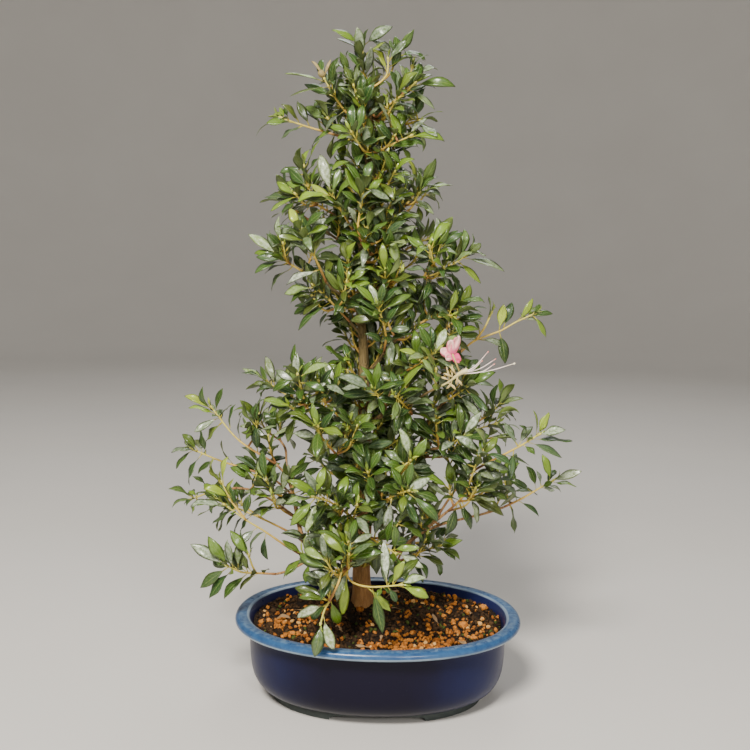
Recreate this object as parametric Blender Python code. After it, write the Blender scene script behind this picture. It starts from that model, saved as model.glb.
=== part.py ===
"""An azalea bonsai in a glazed oval pot: pot, soil, wood, leafy sprays, one flower and one seed capsule.

The shoots that the photograph shows are written as pixels of its 750 by 750 frame with a depth, and sight()
turns each pixel into a place in metres. The sprays that it can't show follow a rule with seeded draws.
"""

import math
import random
from collections import namedtuple

import bmesh
import bpy
from mathutils import Vector
from mathutils.bvhtree import BVHTree

# Driving dimensions, in metres
POT_WIDTH = 0.2576
POT_DEPTH = 0.208
TRUNK_FOOT_RADIUS = 0.0088
STEM_RADIUS = 0.0011
LEAF_LENGTH = 0.027
LEAF_WIDTH = 0.0104
BLADE = 0.0009
GAP = 0.0003

# The camera that took the photograph, in metres and in pixels of its frame
FRAME_MIDDLE = 375
FOCAL_PIXELS = 1000
CAMERA_HEIGHT = 0.382
CAMERA_DISTANCE = 0.882
CAMERA_ASIDE = -0.003
CAMERA_TILT = math.radians(6.0)
CAMERA_ROLL = math.radians(1.0)

# The plane of the trunk is a little behind the middle of the pot, and the pot is a little to its right
TREE_PLANE = 0.015
POT_ASIDE = 0.0034
MODEL_SHIFT = Vector((0.0057, -0.0221, 0))
MM = 0.001
HAIR = 2e-5
SCRAP_SPAN = 0.002
FUSE_TRIES = 8
WHOLE_TRIES = 4
FLAT_ANGLE = math.radians(1.0)
UP = Vector((0, 0, 1))
GOLDEN_SHARE = (math.sqrt(5) - 1) / 2
SEED = 31

Spray = namedtuple("Spray", "name depth stems tips")
Leaf = namedtuple("Leaf", "root tip normal width bow")
Seat = namedtuple("Seat", "twig ring side place normal")

# A photo pixel on the crown's upright axis, then those up the middle of the trunk, from the soil to the apex
AXIS_PIXEL = (365, 300)
TRUNK_LINE = ((362, 612), (362, 560), (365, 500), (364, 440), (364, 380), (363, 340), (360, 300), (368, 250),
              (372, 200), (366, 150), (371, 118))

# Sprays seen in the photograph: depth behind the trunk in mm, stems and leaf tips in photo pixels
SPRAYS = (
    Spray("apex", -4, (((371, 112), (366, 90), (363, 66), (363, 44)), ((366, 90), (378, 84), (387, 74),
                                                                       (388, 60))),
          ((331, 30), (357, 27), (372, 49), (393, 26), (386, 42), (407, 40), (426, 62), (346, 52))),
    Spray("crown_right", -10, (((376, 118), (388, 106), (402, 95), (414, 84)),),
          ((456, 87), (459, 107), (435, 110), (432, 74), (420, 62))),
    Spray("crown_left", -15, (((362, 126), (346, 112), (333, 94), (325, 80)),),
          ((284, 74), (289, 97), (304, 84), (336, 68))),
    Spray("left_top", 10, (((344, 137), (322, 131), (302, 125), (282, 118)),),
          ((266, 123), (281, 104), (297, 101), (281, 139), (322, 112))),
    Spray("right_top", -15, (((374, 154), (386, 147), (394, 136)), ((386, 147), (398, 142), (410, 136))),
          ((390, 113), (427, 118), (404, 110), (445, 142), (376, 124))),
    Spray("left_upper", 40, (((312, 222), (298, 212), (291, 203), (290, 190)),),
          ((286, 166), (276, 175), (301, 168), (314, 187), (264, 198))),
    Spray("front_left_upper", -30, (((356, 236), (347, 220), (338, 206), (331, 194)),),
          ((320, 154), (340, 168), (297, 203), (310, 184))),
    Spray("front_upper", -40, (((362, 246), (358, 228), (361, 206), (364, 186)),),
          ((372, 161), (345, 163), (384, 178), (390, 200))),
    Spray("right_upper", 10, (((380, 232), (391, 223), (400, 211), (405, 191)), ((400, 211), (410, 200),
                                                                                 (418, 187))),
          ((403, 158), (384, 164), (418, 166), (436, 158), (451, 186), (443, 202), (434, 215), (426, 230))),
    Spray("right_long", -20, (((388, 284), (403, 279), (424, 277), (442, 271), (464, 257)),
                              ((424, 277), (429, 264), (430, 250))),
          ((436, 217), (444, 242), (460, 236), (481, 243), (486, 256), (505, 272), (481, 284), (456, 294))),
    Spray("left_front_high", -60, (((326, 282), (319, 266), (311, 250), (301, 230)),),
          ((324, 212), (277, 236), (290, 208), (268, 281), (286, 285))),
    Spray("left_broad", -20, (((318, 280), (304, 272), (290, 264), (278, 256)),),
          ((248, 234), (254, 254), (230, 272), (269, 319), (270, 230))),
    Spray("left_middle", -30, (((350, 322), (337, 308), (325, 296), (314, 286)),),
          ((284, 294), (290, 304), (298, 331), (306, 262), (330, 268))),
    Spray("centre_high", -25, (((358, 304), (352, 290), (347, 276), (348, 262)),),
          ((354, 236), (328, 252), (372, 256), (370, 324), (334, 316))),
    Spray("bud_shoot", -60, (((384, 352), (386, 338), (383, 322), (378, 307)),),
          ((369, 284), (384, 282), (401, 304), (358, 306), (364, 334))),
    Spray("front_right_high", -60, (((402, 374), (418, 364), (434, 353)),),
          ((398, 350), (418, 325), (431, 326), (446, 328), (462, 372))),
    Spray("right_reach", 10, (((448, 364), (463, 350), (476, 340), (500, 331), (516, 322), (534, 314)),
                              ((476, 340), (485, 327), (491, 314))),
          ((512, 302), (553, 314), (533, 298), (546, 338), (504, 350), (505, 364), (468, 310),
           (488, 296), (504, 304))),
    Spray("right_bud", -15, (((438, 336), (450, 326), (457, 314), (457, 302)),),
          ((470, 284), (455, 280), (438, 285), (485, 303), (430, 306))),
    Spray("left_reach", 10, (((276, 464), (256, 452), (241, 442), (229, 430), (212, 408)),),
          ((184, 396), (188, 408), (203, 386), (223, 388), (194, 432), (206, 442), (242, 414),
           (236, 404), (256, 426))),
    Spray("left_far", 50, (((262, 474), (240, 467), (221, 461), (206, 455), (192, 449)),),
          ((171, 453), (182, 434), (200, 430), (176, 469), (198, 474), (190, 486), (222, 440))),
    Spray("left_inner", 50, (((280, 440), (268, 432), (262, 423), (259, 414)),),
          ((232, 412), (261, 392), (275, 396), (246, 440))),
    Spray("front_left_tall", -60, (((322, 428), (311, 414), (303, 396), (298, 376)),),
          ((297, 352), (273, 392), (275, 370), (312, 360), (326, 392))),
    Spray("front_left_fork", -50, (((350, 432), (338, 416), (325, 403), (309, 384)),
                                   ((325, 403), (322, 392), (319, 382))),
          ((317, 356), (333, 368), (292, 374), (346, 396), (302, 408))),
    Spray("front_left_low", -80, (((336, 454), (328, 445), (321, 436), (318, 427)),),
          ((312, 402), (292, 434), (336, 410), (300, 414), (344, 436))),
    Spray("front_middle", -70, (((386, 406), (381, 398), (374, 391)),),
          ((337, 377), (342, 396), (379, 362), (360, 366), (398, 384))),
    Spray("front_middle_right", -70, (((412, 414), (404, 405), (396, 397)),),
          ((425, 364), (435, 404), (382, 418), (417, 382), (390, 370))),
    Spray("front_low", -80, (((396, 480), (404, 470), (410, 461)),),
          ((398, 428), (390, 478), (416, 488), (427, 438), (384, 450))),
    Spray("front_centre_low", -76, (((374, 494), (370, 484), (368, 473)),),
          ((352, 450), (366, 444), (382, 450), (346, 478), (392, 480))),
    Spray("right_centre", -30, (((442, 404), (454, 396), (466, 387)),),
          ((511, 388), (488, 412), (480, 362), (496, 372), (452, 370))),
    Spray("right_silver", -45, (((440, 448), (452, 443), (462, 438)),),
          ((482, 411), (490, 436), (466, 412), (446, 418), (474, 462))),
    Spray("right_back", 50, (((474, 424), (488, 415), (500, 405)),),
          ((524, 399), (520, 414), (499, 378), (515, 384), (484, 392))),
    Spray("low_left_long", -30, (((300, 554), (286, 546), (273, 537), (261, 529), (246, 520), (225, 505)),
                                 ((246, 520), (232, 502), (222, 483))),
          ((190, 507), (203, 489), (234, 478), (213, 458), (229, 456), (237, 546), (212, 524),
           (250, 494), (268, 560))),
    Spray("low_left_branch", -40, (((276, 574), (256, 573), (241, 572), (227, 566)),
                                   ((256, 573), (252, 565), (249, 556))),
          ((190, 544), (176, 563), (200, 588), (209, 599), (230, 530), (208, 536), (240, 530), (264, 532))),
    Spray("left_faint", 40, (((236, 488), (222, 490), (208, 493), (192, 499)),),
          ((168, 489), (172, 508), (192, 476), (212, 514))),
    Spray("low_front_left", -90, (((348, 514), (338, 507), (328, 501), (314, 497)),),
          ((325, 466), (284, 504), (290, 526), (313, 531), (286, 480), (304, 470))),
    Spray("low_front_right", -90, (((378, 506), (388, 499), (398, 494), (408, 491)),),
          ((390, 466), (412, 462), (430, 478), (440, 503), (362, 490), (384, 530), (438, 522), (418, 524))),
    Spray("low_front_fan", -88, (((364, 534), (379, 543), (395, 553)),),
          ((394, 524), (420, 548), (424, 568), (376, 572), (362, 556))),
    Spray("front_hanging", -119, (((353, 556), (347, 568), (349, 579), (359, 585), (375, 587), (400, 585)),
                                  ((347, 568), (341, 582), (334, 594), (325, 609), (321, 622))),
          ((304, 573), (405, 560), (427, 578), (429, 598), (391, 612), (383, 634), (384, 540),
           (297, 618), (314, 659), (334, 650), (342, 616))),
    Spray("low_right", -10, (((402, 560), (420, 552), (440, 546)),),
          ((463, 540), (440, 576), (428, 524), (460, 560))),
    Spray("right_low_reach", -40, (((478, 468), (499, 457), (520, 446), (538, 435)),),
          ((504, 422), (533, 410), (549, 412), (566, 430), (573, 441), (562, 458), (530, 466), (510, 480))),
    Spray("right_end", 0, (((504, 507), (521, 499), (538, 489), (552, 481)),),
          ((582, 471), (577, 487), (587, 516), (542, 454), (526, 466), (539, 517), (510, 480))),
    Spray("right_low_fork", -50, (((448, 511), (459, 501), (467, 490), (474, 470), (482, 452)),),
          ((440, 455), (454, 436), (474, 428), (498, 436), (511, 466), (497, 493), (504, 516),
           (471, 530), (446, 536))),
)

# Sprays by rule: how far the crown reaches from its axis, in mm, at these heights in mm
CROWN_OUTLINE = ((96, 96), (130, 140), (175, 158), (220, 150), (265, 126), (300, 100), (340, 98), (385, 96),
                 (440, 74), (500, 58), (560, 34))
RULE_SPRAYS = 12
RULE_LOWEST = 0.118
RULE_HIGHEST = 0.510
RULE_FAN = math.radians(205)
RULE_FIRST_TURN = 0.3
RULE_FLATTENING = 0.86

# Their stems' points as shares of the reach there: outward, across and up, the fork's end from the bend
RULE_START = (0.42, 0.0, -0.10)
RULE_BEND = (0.60, 0.05, 0.0)
RULE_END_RISE = 0.10
RULE_FORK_END = (0.20, -0.24, 0.04)
RULE_LEAVES = 9
HIDDEN_LEAVES = 1
TIP_REACH = 0.024
TURNED_COST = 0.006
STEM_TAPER = 0.35

# How far a spray may move to be clear of the others, in mm, in the order tried
NUDGES = (0, 4, -4, 8, -8, 12, -12, 16, -16)

# Whorls: spacing, half length, first and last place on a twig, and how far a leaf turns out of its seat
SEAT_STEP = 0.0048
SEAT_HALF = 0.0005
FIRST_SEAT = 0.0017
SEATED_SHARE = 0.86
SEAT_TURN = 0.25

# Leaves: the part near the root that may touch its neighbours, lengths kept, tries, and the blade's stations
CLEAR_START = 0.13
FOOT_START = 0.04
SHORTEST = 0.009
LONGEST = 0.040
LEAF_TRIES = 18
LONG_LEAF = 0.032
LONG_STATIONS = ((0.28, 0.74), (0.56, 1.0), (0.82, 0.62))
SHORT_STATIONS = ((0.36, 0.92), (0.72, 0.78))
FOLD = 0.26
WIDTH_SPREAD = (0.84, 1.12)
LENGTH_SPREAD = (0.72, 1.14)
WIDTH_GROWTH = 0.6
BOW_SPREAD = (0.02, 0.11)
LEAN_SPREAD = (-0.55, 0.30)
OPENING_SPREAD = (36, 76)
TRY_LEAN = 0.15
MOST_LEAN = 0.02
RISE_SHARE = 0.12
RULE_ASTRAY = 0.25
RULE_WHORL = 6
BACK_WHORLS = 12
BACK_CHOICES = 4
SEATS_KEPT = 8
CLEARANCE = 1.6

# How much of a leaf's upper face looks up, out from the trunk, toward the light in front, and astray
LOOK_UP = 0.62
LOOK_OUT = 0.35
LOOK_FRONT = 0.5
LOOK_ASTRAY = 0.32

# Branches: how they leave the wood and arrive at a stem, and what makes a starting point dear
BRANCH_SIDES = 3
BRANCH_RISE = 0.25
BRANCH_ARRIVAL = 0.8
SHORTEST_BRANCH = 0.006
LONGER_BRANCHES = (0.03, 0.06)
BARE_FOOT = 0.03
LEAST_RISE = 0.002
BRANCH_TRIES = 40
CLEARING_SIDES = 5
TURN_COST = 0.5
REACH_COST = 0.5
ABOVE_COST = 3
CROWD_COST = 0.006
PIPE_POWER = 2.3

# The trunk's taper above the soil, and its flare at the foot
TRUNK_SIDES = 9
TAPER_HEIGHT = 0.44
TAPER_POWER = 1.25
TAPER_SHARE = 0.82
APEX_SHARE = 0.19
FLARE_HEIGHT = 0.012
FLARE_SHARE = 0.09

# The spent flower and the seed capsule, in photo pixels
FLOWER_DEPTH = -0.060
FLOWER_STALK = ((436, 388), (447, 383), (459, 374))
FLOWER_THREADS = (((474, 367), (487, 353)), ((479, 369), (494, 360)), ((488, 371), (513, 364)),
                  ((472, 370), (481, 362)), ((481, 372), (493, 365)))
PETAL_CROWN = (452, 353)
PETAL_TIPS = ((458, 335), (440, 350), (460, 361), (450, 339), (445, 358))
PETAL_WIDTH = 0.0085
PETAL_BOW = 0.002
PETAL_LEAN = 0.004
PETAL_LOOKS = (Vector((0.5, -1, 0)), Vector((0, -1, 0.3)))
PETAL_STALK = (0.0011, 0.0020)
PETAL_SIDES = 6
CALYX_LENGTH = 0.0075
CALYX_RADII = (0.0017, 0.0022)
STALK_RADIUS = 0.0009
STALK_SIDES = 6
THREAD_LEAN = 0.004
THREAD_RADII = (0.0005, 0.0010, 0.0006)
THREAD_KNOB = 0.0012
THREAD_SIDES = 4
CAPSULE_BRACTS = ((311, 61), (331, 59))
BRACT_LOOK = Vector((0.2, -1, 0.3))
BRACT_WIDTH = 0.0034
BRACT_BOW = 0.002

# The capsule's rings: how far past the stem's end in mm, and their radii
CAPSULE_STEPS = (0, 2, 3.6, 6.0, 8.0, 9.4)
CAPSULE_RADII = (0.0007, 0.0008, 0.0023, 0.0028, 0.0021, 0.0007)
CAPSULE_RIBS = 7

# The pot's section from under the foot round to the inside, as inset from its outer oval and height in mm
POT_SECTION = ((33, 0), (32.6, 6.4), (28, 8.4), (21, 14), (16, 24), (13.8, 40), (13.4, 63), (11.4, 65.4),
               (4, 65.8), (0.6, 68), (0.6, 71.6), (4, 74), (10.2, 73.6), (14, 71.2), (17, 65),
               (19, 45), (22, 25), (36, 13.5))
FOOT_INSIDE = (41, 7)
OVAL_POWER = 2.15
POT_SIDES = 28
FOOT_GAP_HALF = 0.041
FOOT_GAP_HEIGHT = 0.006
FOOT_GAP_ASIDE = 0.004
ARCH_POWER = 0.5
DRAIN_RADIUS = 0.007
DRAIN_ASIDE = 0.045
DRAIN_CUT = (-0.01, 0.03)
ARCH_STEPS = 6
DRAIN_SIDES = 10

# The soil's top, in metres
SOIL_EDGE_HEIGHT = 0.0665
SOIL_MOUND = 0.0045
SOIL_RELIEF = 0.0016
SOIL_WALL_INSET = 17.0
MOUND_POWER = 1.5
BUMP_WAVES = (410, 470)
BUMP_SWAYS = ((2.1, 330), (1.7, 290))
SOIL_SIDES = 28
SOIL_RINGS = 7
TRUNK_SUNK = 0.022


def clear_scene():
    for obj in list(bpy.data.objects):
        bpy.data.objects.remove(obj, do_unlink=True)


def sight(pixel, depth):
    """The place, in metres, seen at a photo pixel on the upright plane this many metres behind the trunk."""
    across = (pixel[0] - FRAME_MIDDLE) / FOCAL_PIXELS
    above = (FRAME_MIDDLE - pixel[1]) / FOCAL_PIXELS
    level = Vector((1, 0, 0))
    rise = Vector((0, math.sin(CAMERA_TILT), math.cos(CAMERA_TILT)))
    ahead = Vector((0, math.cos(CAMERA_TILT), -math.sin(CAMERA_TILT)))
    right = level * math.cos(CAMERA_ROLL) + rise * math.sin(CAMERA_ROLL)
    top = rise * math.cos(CAMERA_ROLL) - level * math.sin(CAMERA_ROLL)
    ray = ahead + right * across + top * above
    eye = Vector((CAMERA_ASIDE, -CAMERA_DISTANCE, CAMERA_HEIGHT))
    return eye + ray * ((TREE_PLANE + depth - eye.y) / ray.y)


def smooth_line(points, steps):
    """Points on a Catmull-Rom curve through these, with this many steps for each span."""
    ends = [points[0] * 2 - points[1], *points, points[-1] * 2 - points[-2]]
    line = []
    for i in range(1, len(ends) - 2):
        before, start, end, after = ends[i - 1:i + 3]
        for step in range(steps):
            t = step / steps
            first = (end - before) * t
            second = (2 * before - 5 * start + 4 * end - after) * t ** 2
            third = (3 * start - before - 3 * end + after) * t ** 3
            line.append(0.5 * (2 * start + first + second + third))
    line.append(points[-1].copy())
    return line


def ring_frames(line, last_direction=None):
    """A side vector and a second one at each point, turning as little as they can along the line."""
    side = None
    frames = []
    for i, point in enumerate(line):
        ahead = (line[min(i + 1, len(line) - 1)] - line[max(i - 1, 0)]).normalized()
        if last_direction is not None and i == len(line) - 1:
            ahead = last_direction
        if side is None:
            side = ahead.orthogonal().normalized()
        side = (side - ahead * side.dot(ahead)).normalized()
        frames.append((point, side, ahead.cross(side)))
    return frames


def tube(line, radii, sides, last_direction=None):
    """Vertices and faces of a closed tube with flat ends."""
    vertices = []
    for (point, side, second), radius in zip(ring_frames(line, last_direction), radii):
        for k in range(sides):
            angle = 2 * math.pi * k / sides
            vertices.append(point + (side * math.cos(angle) + second * math.sin(angle)) * radius)
    faces = []
    for ring in range(len(line) - 1):
        for k in range(sides):
            a = ring * sides + k
            b = ring * sides + (k + 1) % sides
            faces.append((a, b, b + sides))
            faces.append((a, b + sides, a + sides))
    last = (len(line) - 1) * sides
    for k in range(1, sides - 1):
        faces.append((0, k + 1, k))
        faces.append((last, last + k, last + k + 1))
    return vertices, faces


def blade_rings(leaf, swell=0.0):
    """The blade's rings of four points, left, top, right and under, from its widening to its point."""
    run = leaf.tip - leaf.root
    ahead = run.normalized()
    normal = (leaf.normal - ahead * leaf.normal.dot(ahead)).normalized()
    side = normal.cross(ahead)
    half_blade = BLADE / 2 + swell
    rings = []
    for share, spread in LONG_STATIONS if run.length > LONG_LEAF else SHORT_STATIONS:
        middle = leaf.root + run * share + normal * (leaf.bow * 4 * share * (1 - share))
        half = leaf.width * spread / 2 + swell
        fold = normal * half * FOLD
        rings.append([middle - side * half + fold, middle + normal * half_blade, middle + side * half + fold,
                      middle - normal * half_blade])
    return rings


def blade_faces(first, rings):
    """Faces of the blade from its first ring to its point, with that ring's first vertex numbered first."""
    faces = []
    for ring in range(rings - 1):
        for k in range(4):
            a = first + ring * 4 + k
            b = first + ring * 4 + (k + 1) % 4
            faces += [(a, a + 4, b + 4), (a, b + 4, b)] if k % 2 else [(a, a + 4, b), (b, a + 4, b + 4)]
    last = first + (rings - 1) * 4
    for k in range(4):
        faces.append((last + k, last + 4, last + (k + 1) % 4))
    return faces


def blade(leaf, swell=0.0, start=0.0):
    """Vertices and faces of one closed leaf, folded up a little at its midrib and widening from its root."""
    run = leaf.tip - leaf.root
    ahead = run.normalized()
    normal = (leaf.normal - ahead * leaf.normal.dot(ahead)).normalized()
    rings = blade_rings(leaf, swell)
    root = leaf.root + run * start
    vertices = [root + normal * (BLADE / 2 + swell), root - normal * (BLADE / 2 + swell)]
    for ring in rings:
        vertices += ring
    vertices.append(leaf.tip + ahead * swell)
    faces = [(0, 1, 2), (0, 2, 3), (1, 5, 2), (1, 0, 4), (0, 3, 4), (1, 4, 5)]
    return vertices, faces + blade_faces(2, len(rings))


class Twig:
    """A young stem whose sides open into leaves. Its whorls are close pairs of rings with four seats each."""

    SIDES = 4

    def __init__(self, line):
        total = sum((b - a).length for a, b in zip(line, line[1:]))
        marks = []
        away = FIRST_SEAT
        while away < total * SEATED_SHARE:
            marks.append(total - away)
            away += SEAT_STEP
        bends = [0.0]
        for a, b in zip(line, line[1:]):
            bends.append(bends[-1] + (b - a).length)
        stops = [(bend, None) for bend in bends if all(abs(bend - mark) > 2 * SEAT_HALF for mark in marks)]
        for whorl, mark in enumerate(marks):
            stops += [(mark - SEAT_HALF, whorl), (mark + SEAT_HALF, whorl)]
        if stops[-1][0] < total and all(bend != total for bend, whorl in stops):
            stops.append((total, None))
        stops.sort(key=lambda stop: stop[0])
        self.line = line
        self.whorls = [whorl for distance, whorl in stops]
        self.radii = [STEM_RADIUS * (1 - STEM_TAPER * distance / total) for distance, whorl in stops]
        self.frames = ring_frames([point_back(line, total - distance) for distance, whorl in stops])
        self.leaves = []

    def corner(self, ring, k):
        point, side, second = self.frames[ring]
        angle = 2 * math.pi * k / self.SIDES
        return point + (side * math.cos(angle) + second * math.sin(angle)) * self.radii[ring]

    def seats(self):
        """Each place where a leaf can grow."""
        found = []
        for ring in range(len(self.whorls) - 1):
            if self.whorls[ring] is not None and self.whorls[ring] == self.whorls[ring + 1]:
                for k in range(self.SIDES):
                    corners = [self.corner(ring + i, k + j) for i in (0, 1) for j in (0, 1)]
                    middle = sum(corners, Vector()) / 4
                    axis = (self.frames[ring][0] + self.frames[ring + 1][0]) / 2
                    found.append(Seat(self, ring, k, middle, (middle - axis).normalized()))
        return found

    def mesh(self):
        """The stem with its leaves as one closed skin. Each leaf widens out of its own seat."""
        used = {seat.twig.whorls[seat.ring] for seat, leaf in self.leaves}
        rings = [i for i, whorl in enumerate(self.whorls) if whorl is None or whorl in used]
        number = {ring: place for place, ring in enumerate(rings)}
        vertices = [self.corner(ring, k) for ring in rings for k in range(self.SIDES)]
        grown = {(number[seat.ring], seat.side): leaf for seat, leaf in self.leaves}
        faces = []
        for place in range(len(rings) - 1):
            for k in range(self.SIDES):
                a = place * self.SIDES + k
                b = place * self.SIDES + (k + 1) % self.SIDES
                loop = [a, b, b + self.SIDES, a + self.SIDES]
                if (place, k) in grown:
                    faces += self.open_leaf(loop, grown[place, k], vertices)
                else:
                    faces += [(loop[0], loop[1], loop[2]), (loop[0], loop[2], loop[3])]
        last = (len(rings) - 1) * self.SIDES
        for k in range(1, self.SIDES - 1):
            faces += [(0, k + 1, k), (last, last + k, last + k + 1)]
        return vertices, faces

    @staticmethod
    def open_leaf(loop, leaf, vertices):
        """Faces from a seat's four corners to the leaf's first ring, turned to match it, and its blade."""
        rings = blade_rings(leaf)
        first = len(vertices)
        for ring in rings:
            vertices += ring
        vertices.append(leaf.tip)
        shift = min(range(4), key=lambda turn: sum((vertices[loop[k]] - rings[0][(turn - k) % 4]).length
                                                   for k in range(4)))
        faces = []
        for k in range(4):
            a, b = loop[k], loop[(k + 1) % 4]
            c, d = first + (shift - k - 1) % 4, first + (shift - k) % 4
            faces += [(a, b, c), (a, c, d)]
        return faces + blade_faces(first, len(rings))


class Room:
    """Everything placed so far, in cells, so that a new shape can be tested against what is near it."""

    CELL = 0.03

    def __init__(self):
        self.cells = {}

    def near(self, vertices):
        low = [min(v[i] for v in vertices) for i in range(3)]
        high = [max(v[i] for v in vertices) for i in range(3)]
        spans = [range(math.floor(low[i] / self.CELL), math.floor(high[i] / self.CELL) + 1) for i in range(3)]
        return [(x, y, z) for x in spans[0] for y in spans[1] for z in spans[2]]

    def add(self, owner, shape):
        tree = BVHTree.FromPolygons(shape[0], shape[1])
        for cell in self.near(shape[0]):
            self.cells.setdefault(cell, []).append((owner, tree))

    def touched(self, owner, shape):
        """How many shapes of other owners this one would meet."""
        tree = BVHTree.FromPolygons(shape[0], shape[1])
        seen = set()
        count = 0
        for cell in self.near(shape[0]):
            for other, placed in self.cells.get(cell, ()):
                if other != owner and id(placed) not in seen:
                    seen.add(id(placed))
                    count += bool(tree.overlap(placed))
        return count


def oval_point(inset, height, angle):
    """A point of the pot's oval at this inset from its outer edge, in metres."""
    half_width = POT_WIDTH / 2 - inset
    half_depth = POT_DEPTH / 2 - inset
    across = math.copysign(abs(math.cos(angle)) ** (2 / OVAL_POWER), math.cos(angle))
    along = math.copysign(abs(math.sin(angle)) ** (2 / OVAL_POWER), math.sin(angle))
    return Vector((POT_ASIDE + half_width * across, half_depth * along, height))


def pot_skin(sides):
    """Vertices and faces of the whole pot, closed: its section round the oval, then the two floors."""
    section = [FOOT_INSIDE, (FOOT_INSIDE[0], 0), *POT_SECTION]
    vertices = []
    for inset, height in section:
        for k in range(sides):
            vertices.append(oval_point(inset * MM, height * MM, 2 * math.pi * k / sides))
    faces = []
    for ring in range(len(section) - 1):
        for k in range(sides):
            a = ring * sides + k
            b = ring * sides + (k + 1) % sides
            faces += [(a, b, b + sides), (a, b + sides, a + sides)]
    under = len(vertices)
    vertices.append(Vector((POT_ASIDE, 0, section[0][1] * MM)))
    inside = len(vertices)
    vertices.append(Vector((POT_ASIDE, 0, section[-1][1] * MM)))
    last = (len(section) - 1) * sides
    for k in range(sides):
        follow = (k + 1) % sides
        faces += [(under, follow, k), (inside, last + k, last + follow)]
    return vertices, faces


def soil_height(x, y):
    """The soil's own surface: a low mound at the trunk with bumps of a grain's height."""
    trunk = sight(TRUNK_LINE[0], 0)
    away = math.hypot((x - trunk.x) / POT_WIDTH, (y - trunk.y) / POT_DEPTH) * 2
    mound = SOIL_MOUND * max(0.0, 1 - away) ** MOUND_POWER
    (sway_x, wave_y), (sway_y, wave_x) = BUMP_SWAYS
    bumps = math.sin(x * BUMP_WAVES[0] + sway_x * math.sin(y * wave_y))
    bumps *= math.sin(y * BUMP_WAVES[1] + sway_y * math.sin(x * wave_x))
    return SOIL_EDGE_HEIGHT + mound + SOIL_RELIEF * bumps


def soil_skin(draw):
    """Vertices and faces of the soil, closed, with a plain hole for the trunk."""
    trunk = sight(TRUNK_LINE[0], 0)
    hole = trunk_radius(0) + 1.5 * GAP
    floor = POT_SECTION[-1][1] * MM + 2 * GAP
    hole_floor = SOIL_EDGE_HEIGHT - TRUNK_SUNK
    walls = POT_SECTION[-3:]
    wall_inset = SOIL_WALL_INSET * MM + 2 * GAP
    rings = []
    rings.append([Vector((trunk.x + hole * math.cos(a), trunk.y + hole * math.sin(a), hole_floor))
                  for a in soil_angles()])
    for step in range(SOIL_RINGS + 1):
        share = step / SOIL_RINGS
        ring = []
        for angle in soil_angles():
            inner = Vector((trunk.x + hole * math.cos(angle), trunk.y + hole * math.sin(angle), 0))
            outer = oval_point(wall_inset, 0, angle)
            spot = inner.lerp(outer, share)
            jitter = draw.uniform(-1, 1) * SOIL_RELIEF * 0.8 if 0 < step < SOIL_RINGS else 0
            ring.append(Vector((spot.x, spot.y, soil_height(spot.x, spot.y) + jitter)))
        rings.append(ring)
    for inset, height in walls:
        rings.append([oval_point(inset * MM + 2 * GAP, max(height * MM, floor), a) for a in soil_angles()])
    return soil_faces(rings, trunk, hole_floor, floor)


def soil_angles():
    return [2 * math.pi * k / SOIL_SIDES for k in range(SOIL_SIDES)]


def soil_faces(rings, trunk, hole_floor, floor):
    vertices = [v for ring in rings for v in ring]
    faces = []
    for ring in range(len(rings) - 1):
        for k in range(SOIL_SIDES):
            a = ring * SOIL_SIDES + k
            b = ring * SOIL_SIDES + (k + 1) % SOIL_SIDES
            if (ring + k) % 2:
                faces += [(a, a + SOIL_SIDES, b), (b, a + SOIL_SIDES, b + SOIL_SIDES)]
            else:
                faces += [(a, a + SOIL_SIDES, b + SOIL_SIDES), (a, b + SOIL_SIDES, b)]
    hole_middle = len(vertices)
    vertices.append(Vector((trunk.x, trunk.y, hole_floor)))
    under = len(vertices)
    vertices.append(Vector((POT_ASIDE, 0, floor)))
    last = (len(rings) - 1) * SOIL_SIDES
    for k in range(SOIL_SIDES):
        follow = (k + 1) % SOIL_SIDES
        faces += [(hole_middle, k, follow), (under, last + follow, last + k)]
    return vertices, faces


def stem_lines(spray, nudge):
    """The spray's stems as smooth lines. They run out from the trunk's plane to the spray's own depth."""
    depth_at = {}
    lines = []
    for stem in spray.stems:
        start = depth_at.get(stem[0], spray.depth * 0.6)
        points = []
        for i, pixel in enumerate(stem):
            depth_at[pixel] = start + (spray.depth - start) * i / (len(stem) - 1)
            points.append(sight(pixel, depth_at[pixel] * MM + nudge))
        lines.append(smooth_line(points, 2))
    return lines


def crown_reach(height):
    """How far the crown reaches from its axis at this height, between the heights given."""
    for (low, near), (high, far) in zip(CROWN_OUTLINE, CROWN_OUTLINE[1:]):
        if height <= high * MM:
            share = (height / MM - low) / (high - low)
            return (near + (far - near) * max(share, 0)) * MM
    return CROWN_OUTLINE[-1][1] * MM


def rule_lines(index, nudge):
    """A spray at the back or side: one arching stem with a fork on it."""
    share = index / (RULE_SPRAYS - 1)
    height = RULE_LOWEST + (RULE_HIGHEST - RULE_LOWEST) * share + nudge
    turn = math.pi / 2 + RULE_FAN * ((index * GOLDEN_SHARE + RULE_FIRST_TURN) % 1 - 0.5)
    heading = Vector((math.cos(turn), math.sin(turn) * RULE_FLATTENING, 0))
    across = Vector((-heading.y, heading.x, 0))
    reach = crown_reach(height)
    axis = sight(AXIS_PIXEL, 0)
    axis.z = height

    def from_point(base, shares):
        return base + heading * reach * shares[0] + across * reach * shares[1] + UP * reach * shares[2]

    bend = from_point(axis, RULE_BEND)
    end = axis + heading * (reach - LEAF_LENGTH * 0.6) + UP * reach * RULE_END_RISE
    main = smooth_line([from_point(axis, RULE_START), bend, end], 2)
    return [main, smooth_line([bend, from_point(bend, RULE_FORK_END)], 2)]


def stem_radii(line):
    return [STEM_RADIUS * (1 - STEM_TAPER * i / (len(line) - 1)) for i in range(len(line))]


def stem_shapes(lines, swell=0.0, sides=4):
    return [tube(line, [radius + swell for radius in stem_radii(line)], sides) for line in lines]


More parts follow.
